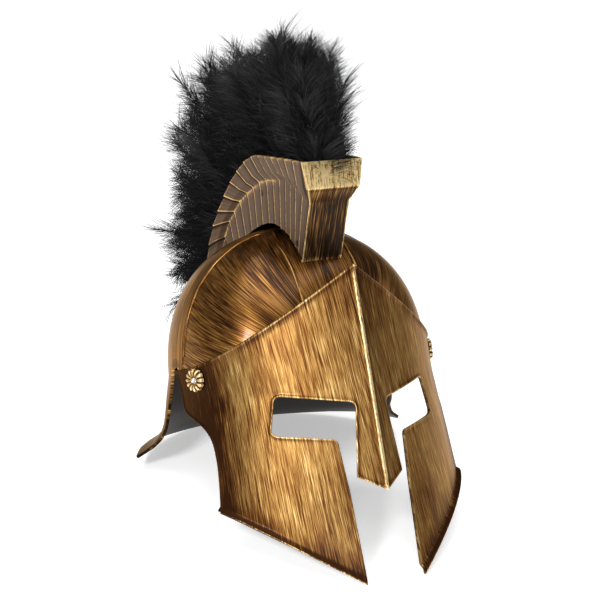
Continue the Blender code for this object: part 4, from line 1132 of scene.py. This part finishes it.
def soft_lock(root, direction, length, radius, rings, sides):
    """A dark tapered body that narrows nearly to a point at its far end, hidden under the barbs."""
    along = np.linspace(0.0, 1.0, rings)
    swell = np.interp(along, [0.0, 0.2, 0.42, 0.68, 0.88, 1.0], [0.40, 0.55, 0.95, 1.0, 0.66, 0.02])
    side = unit(np.cross(direction, [0.3, 0.9, 0.1]))
    other = np.cross(direction, side)
    turn = np.linspace(0.0, 2.0 * np.pi, sides + 1)[:-1]
    ring = side * np.cos(turn)[:, None] + other * np.sin(turn)[:, None]
    return (root + direction * along[:, None, None] * length
            + ring[None] * (swell * radius)[:, None, None])


core_points, core_faces = [], []
for share in np.linspace(0.07, 0.975, 19):
    for sideways in (-0.8, 0.0, 0.8):
        root, direction, length = plume_axis(share, sideways, 0.72)
        core_faces.append(grid_quads(10, 10, closed=True) + 100 * len(core_points))
        core_points.append(soft_lock(root, direction, length, 9.5 * MM, 10, 10))
core = make_piece("plume_core", core_points, np.concatenate(core_faces))
black_core, tree, shader = speckled_plastic(
    "plume_core_black", 500.0, 5.0,
    [(0.0, (0.001, 0.001, 0.001)), (1.0, (0.006, 0.006, 0.007))], 0.95)
shader.inputs["Specular IOR Level"].default_value = 0.03
core.data.materials.append(black_core)
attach(core, "root")

barb_black = bpy.data.materials.new("marabou_black")
barb_black.use_nodes = True
tree = barb_black.node_tree
shader = tree.nodes["Principled BSDF"]
lit = node(tree, "ShaderNodeAttribute", attribute_name="lit").outputs["Fac"]
sheen = colour_ramp(tree, lit, [(0.0, (0.0006, 0.0006, 0.0007)), (1.0, (0.120, 0.120, 0.125))])
tree.links.new(shader.inputs["Base Color"], sheen)
dull = math_node(tree, "SUBTRACT", 0.85, math_node(tree, "MULTIPLY", lit, 0.3))
tree.links.new(shader.inputs["Roughness"], dull)
shader.inputs["Specular IOR Level"].default_value = 0.16


def barb_ribbons(name, base, heading, size, droop, shade):
    """Barbs as tapered ribbons of three runs: each heads off, curls to a random side and sinks."""
    count = len(base)
    curl = unit(np.cross(heading, rng.normal(0.0, 1.0, (count, 3))))
    share = np.linspace(0.0, 1.0, 4)[None, :, None]
    reach = size[:, None, None] * share
    amount = rng.uniform(-0.4, 0.4, (count, 1, 1))
    spine = (base[:, None] + heading[:, None] * reach + curl[:, None] * reach * share * amount
             + droop[:, None] * reach * share)
    flat_way = np.cross(heading, curl)[:, None]
    taper = np.array([1.0, 0.9, 0.65, 0.05])[None, :, None]
    half = 0.17 * MM * taper * rng.uniform(0.7, 1.35, (count, 1, 1))
    points = np.stack([spine - flat_way * half, spine + flat_way * half], axis=2)
    strip = np.array([(2 * k, 2 * k + 1, 2 * k + 3, 2 * k + 2) for k in range(3)])
    faces = (strip[None] + np.arange(count)[:, None, None] * 8).reshape(-1, 4)
    # Painted sheen: brighter towards each barb's tip, and varied at random from barb to barb.
    glow = shade[:, None, None] * rng.uniform(0.5, 1.0, (count, 1, 1)) * (0.2 + 0.8 * share)
    piece = make_piece(name, points, faces, values={"lit": np.broadcast_to(glow, (count, 4, 2))})
    piece.data.materials.append(barb_black)
    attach(piece, "root")
    return piece


TUFT_REACH = np.array([
    # (share of the way along the crest, reach against its lock's): two crests with a dip between
    (0.07, 1.00), (0.18, 1.10), (0.30, 0.94), (0.36, 0.86), (0.42, 0.76), (0.47, 0.82),
    (0.53, 0.98), (0.62, 1.00), (0.72, 1.05), (0.80, 1.02), (0.98, 1.00),
])
tufts = []
for share in np.sort(np.concatenate([LOCKS[:, 0], (LOCKS[1:, 0] + LOCKS[:-1, 0]) / 2.0])):
    for sideways in (-1.05, -0.35, 0.35, 1.05):
        blown = np.array([0.05 * (0.10 < share < 0.34), 0.10 * (share < 0.16), 0.0])
        blown = blown + rng.normal(0.0, 0.05, 3)
        reach = np.interp(share, TUFT_REACH[:, 0], TUFT_REACH[:, 1]) * rng.uniform(0.95, 1.05)
        tufts.append((share, sideways, blown, reach))
tufts += [(0.05, sideways, np.array([0.05, -0.42, 0.0]), 0.46) for sideways in (-0.9, 0.0, 0.9)]


def feather_barbs(picks, barbs):
    """Roots, headings, sizes and droops of the barbs on quills that bend as they rise."""
    count = len(picks)
    root = np.array([pick[0] for pick in picks])[:, None, :]
    direction = np.array([pick[1] for pick in picks])[:, None, :]
    length = np.array([pick[2] for pick in picks])[:, None, None]
    sway = rng.normal(0.0, 1.0, (count, 1, 3))
    sway = unit(sway - np.sum(sway * direction, axis=-1)[..., None] * direction)
    bend = sway * rng.uniform(0.03, 0.20, (count, 1, 1))
    at = rng.uniform(0.02, 1.0, (count, barbs, 1)) ** 0.75
    base = root + direction * length * at + bend * length * at ** 2
    vane = rng.uniform(0.0, np.pi, (count, 1, 1)) + np.pi * rng.integers(0, 2, (count, barbs, 1))
    twist = vane + rng.normal(0.0, 0.5, (count, barbs, 1))
    ring = sway * np.cos(twist) + np.cross(direction, sway) * np.sin(twist)
    pitch = (0.75 + rng.normal(0.0, 0.16, (count, barbs, 1))) * (1.0 - 0.55 * at ** 2)
    heading = ring * np.sin(pitch) + direction * np.cos(pitch)
    size = 23.0 * MM * np.interp(at, [0.0, 0.4, 0.85, 1.0], [0.6, 1.0, 1.0, 0.75])
    size = size * rng.uniform(0.55, 1.25, (count, barbs, 1))
    droop = (ring * 0.25 + bend * 2.5 + rng.normal(0.0, 0.16, (count, 1, 3))
             + np.array([0.0, 0.0, -0.1]))
    # Painted sheen on feathers picked at random, and painted shade darker towards the root.
    shade = rng.uniform(0.0, 1.0, (count, 1, 1)) ** 1.8 * (0.1 + 0.9 * at ** 1.5)
    return [part.reshape(-1, part.shape[-1]) for part in (base, heading, size, droop, shade)]


def pick_feathers(count, reach_low, reach_high):
    """Feathers in tufts, one to each lock: those of a tuft share its lean and reach."""
    picks = []
    for k in range(count):
        tuft = k % len(tufts)
        share, sideways, lean, reach = tufts[tuft]
        root, direction, length = plume_axis(np.clip(share + rng.normal(0.0, 0.018), 0.045, 0.985),
                                             sideways + rng.normal(0.0, 0.22),
                                             reach * rng.uniform(reach_low, reach_high))
        picks.append((root, unit(direction + lean + rng.normal(0.0, 0.045, 3)), length))
    return picks


def fluff(count):
    """Loose down that stands all over the locks, mostly along them and a little outwards."""
    bases, headings, sizes, shades = [], [], [], []
    for _ in range(count // 60):
        share, sideways = rng.uniform(0.06, 0.98), rng.uniform(-1.0, 1.0)
        root, direction, length = plume_axis(share, sideways, 0.92)
        at = rng.uniform(0.05, 0.95, 60)
        swell = np.interp(at, [0.0, 0.2, 0.42, 0.68, 0.88, 1.0], [0.40, 0.55, 0.95, 1.0, 0.66, 0.1])
        side = unit(np.cross(direction, [0.3, 0.9, 0.1]))
        turn = rng.uniform(0.0, 2.0 * np.pi, 60)[:, None]
        ring = side * np.cos(turn) + np.cross(direction, side) * np.sin(turn)
        bases.append(root + direction * (length * at)[:, None]
                     + ring * (swell * 11.0 * MM)[:, None])
        tangle = rng.normal(0.0, 0.3, 3) + rng.normal(0.0, 0.35, (60, 3))
        headings.append(unit(ring * 0.9 + direction + tangle))
        # Painted sheen, one brightness to each clump of down.
        shades.append(np.full(60, rng.uniform() ** 2.0))
        sizes.append(rng.uniform(9.0, 20.0, 60) * MM)
    base, heading = np.concatenate(bases), np.concatenate(headings)
    return base, heading, np.concatenate(sizes), np.zeros_like(base), np.concatenate(shades)


for k in range(3):
    base, heading, size, droop, shade = feather_barbs(pick_feathers(len(tufts), 0.72, 1.0), 318)
    barb_ribbons("plume_feathers_%d" % k, base, heading, size[:, 0], droop,
                                 shade[:, 0])
base, heading, size, droop, shade = fluff(26000)
barb_ribbons("plume_down", base, heading, size, droop, shade)
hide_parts("plume")
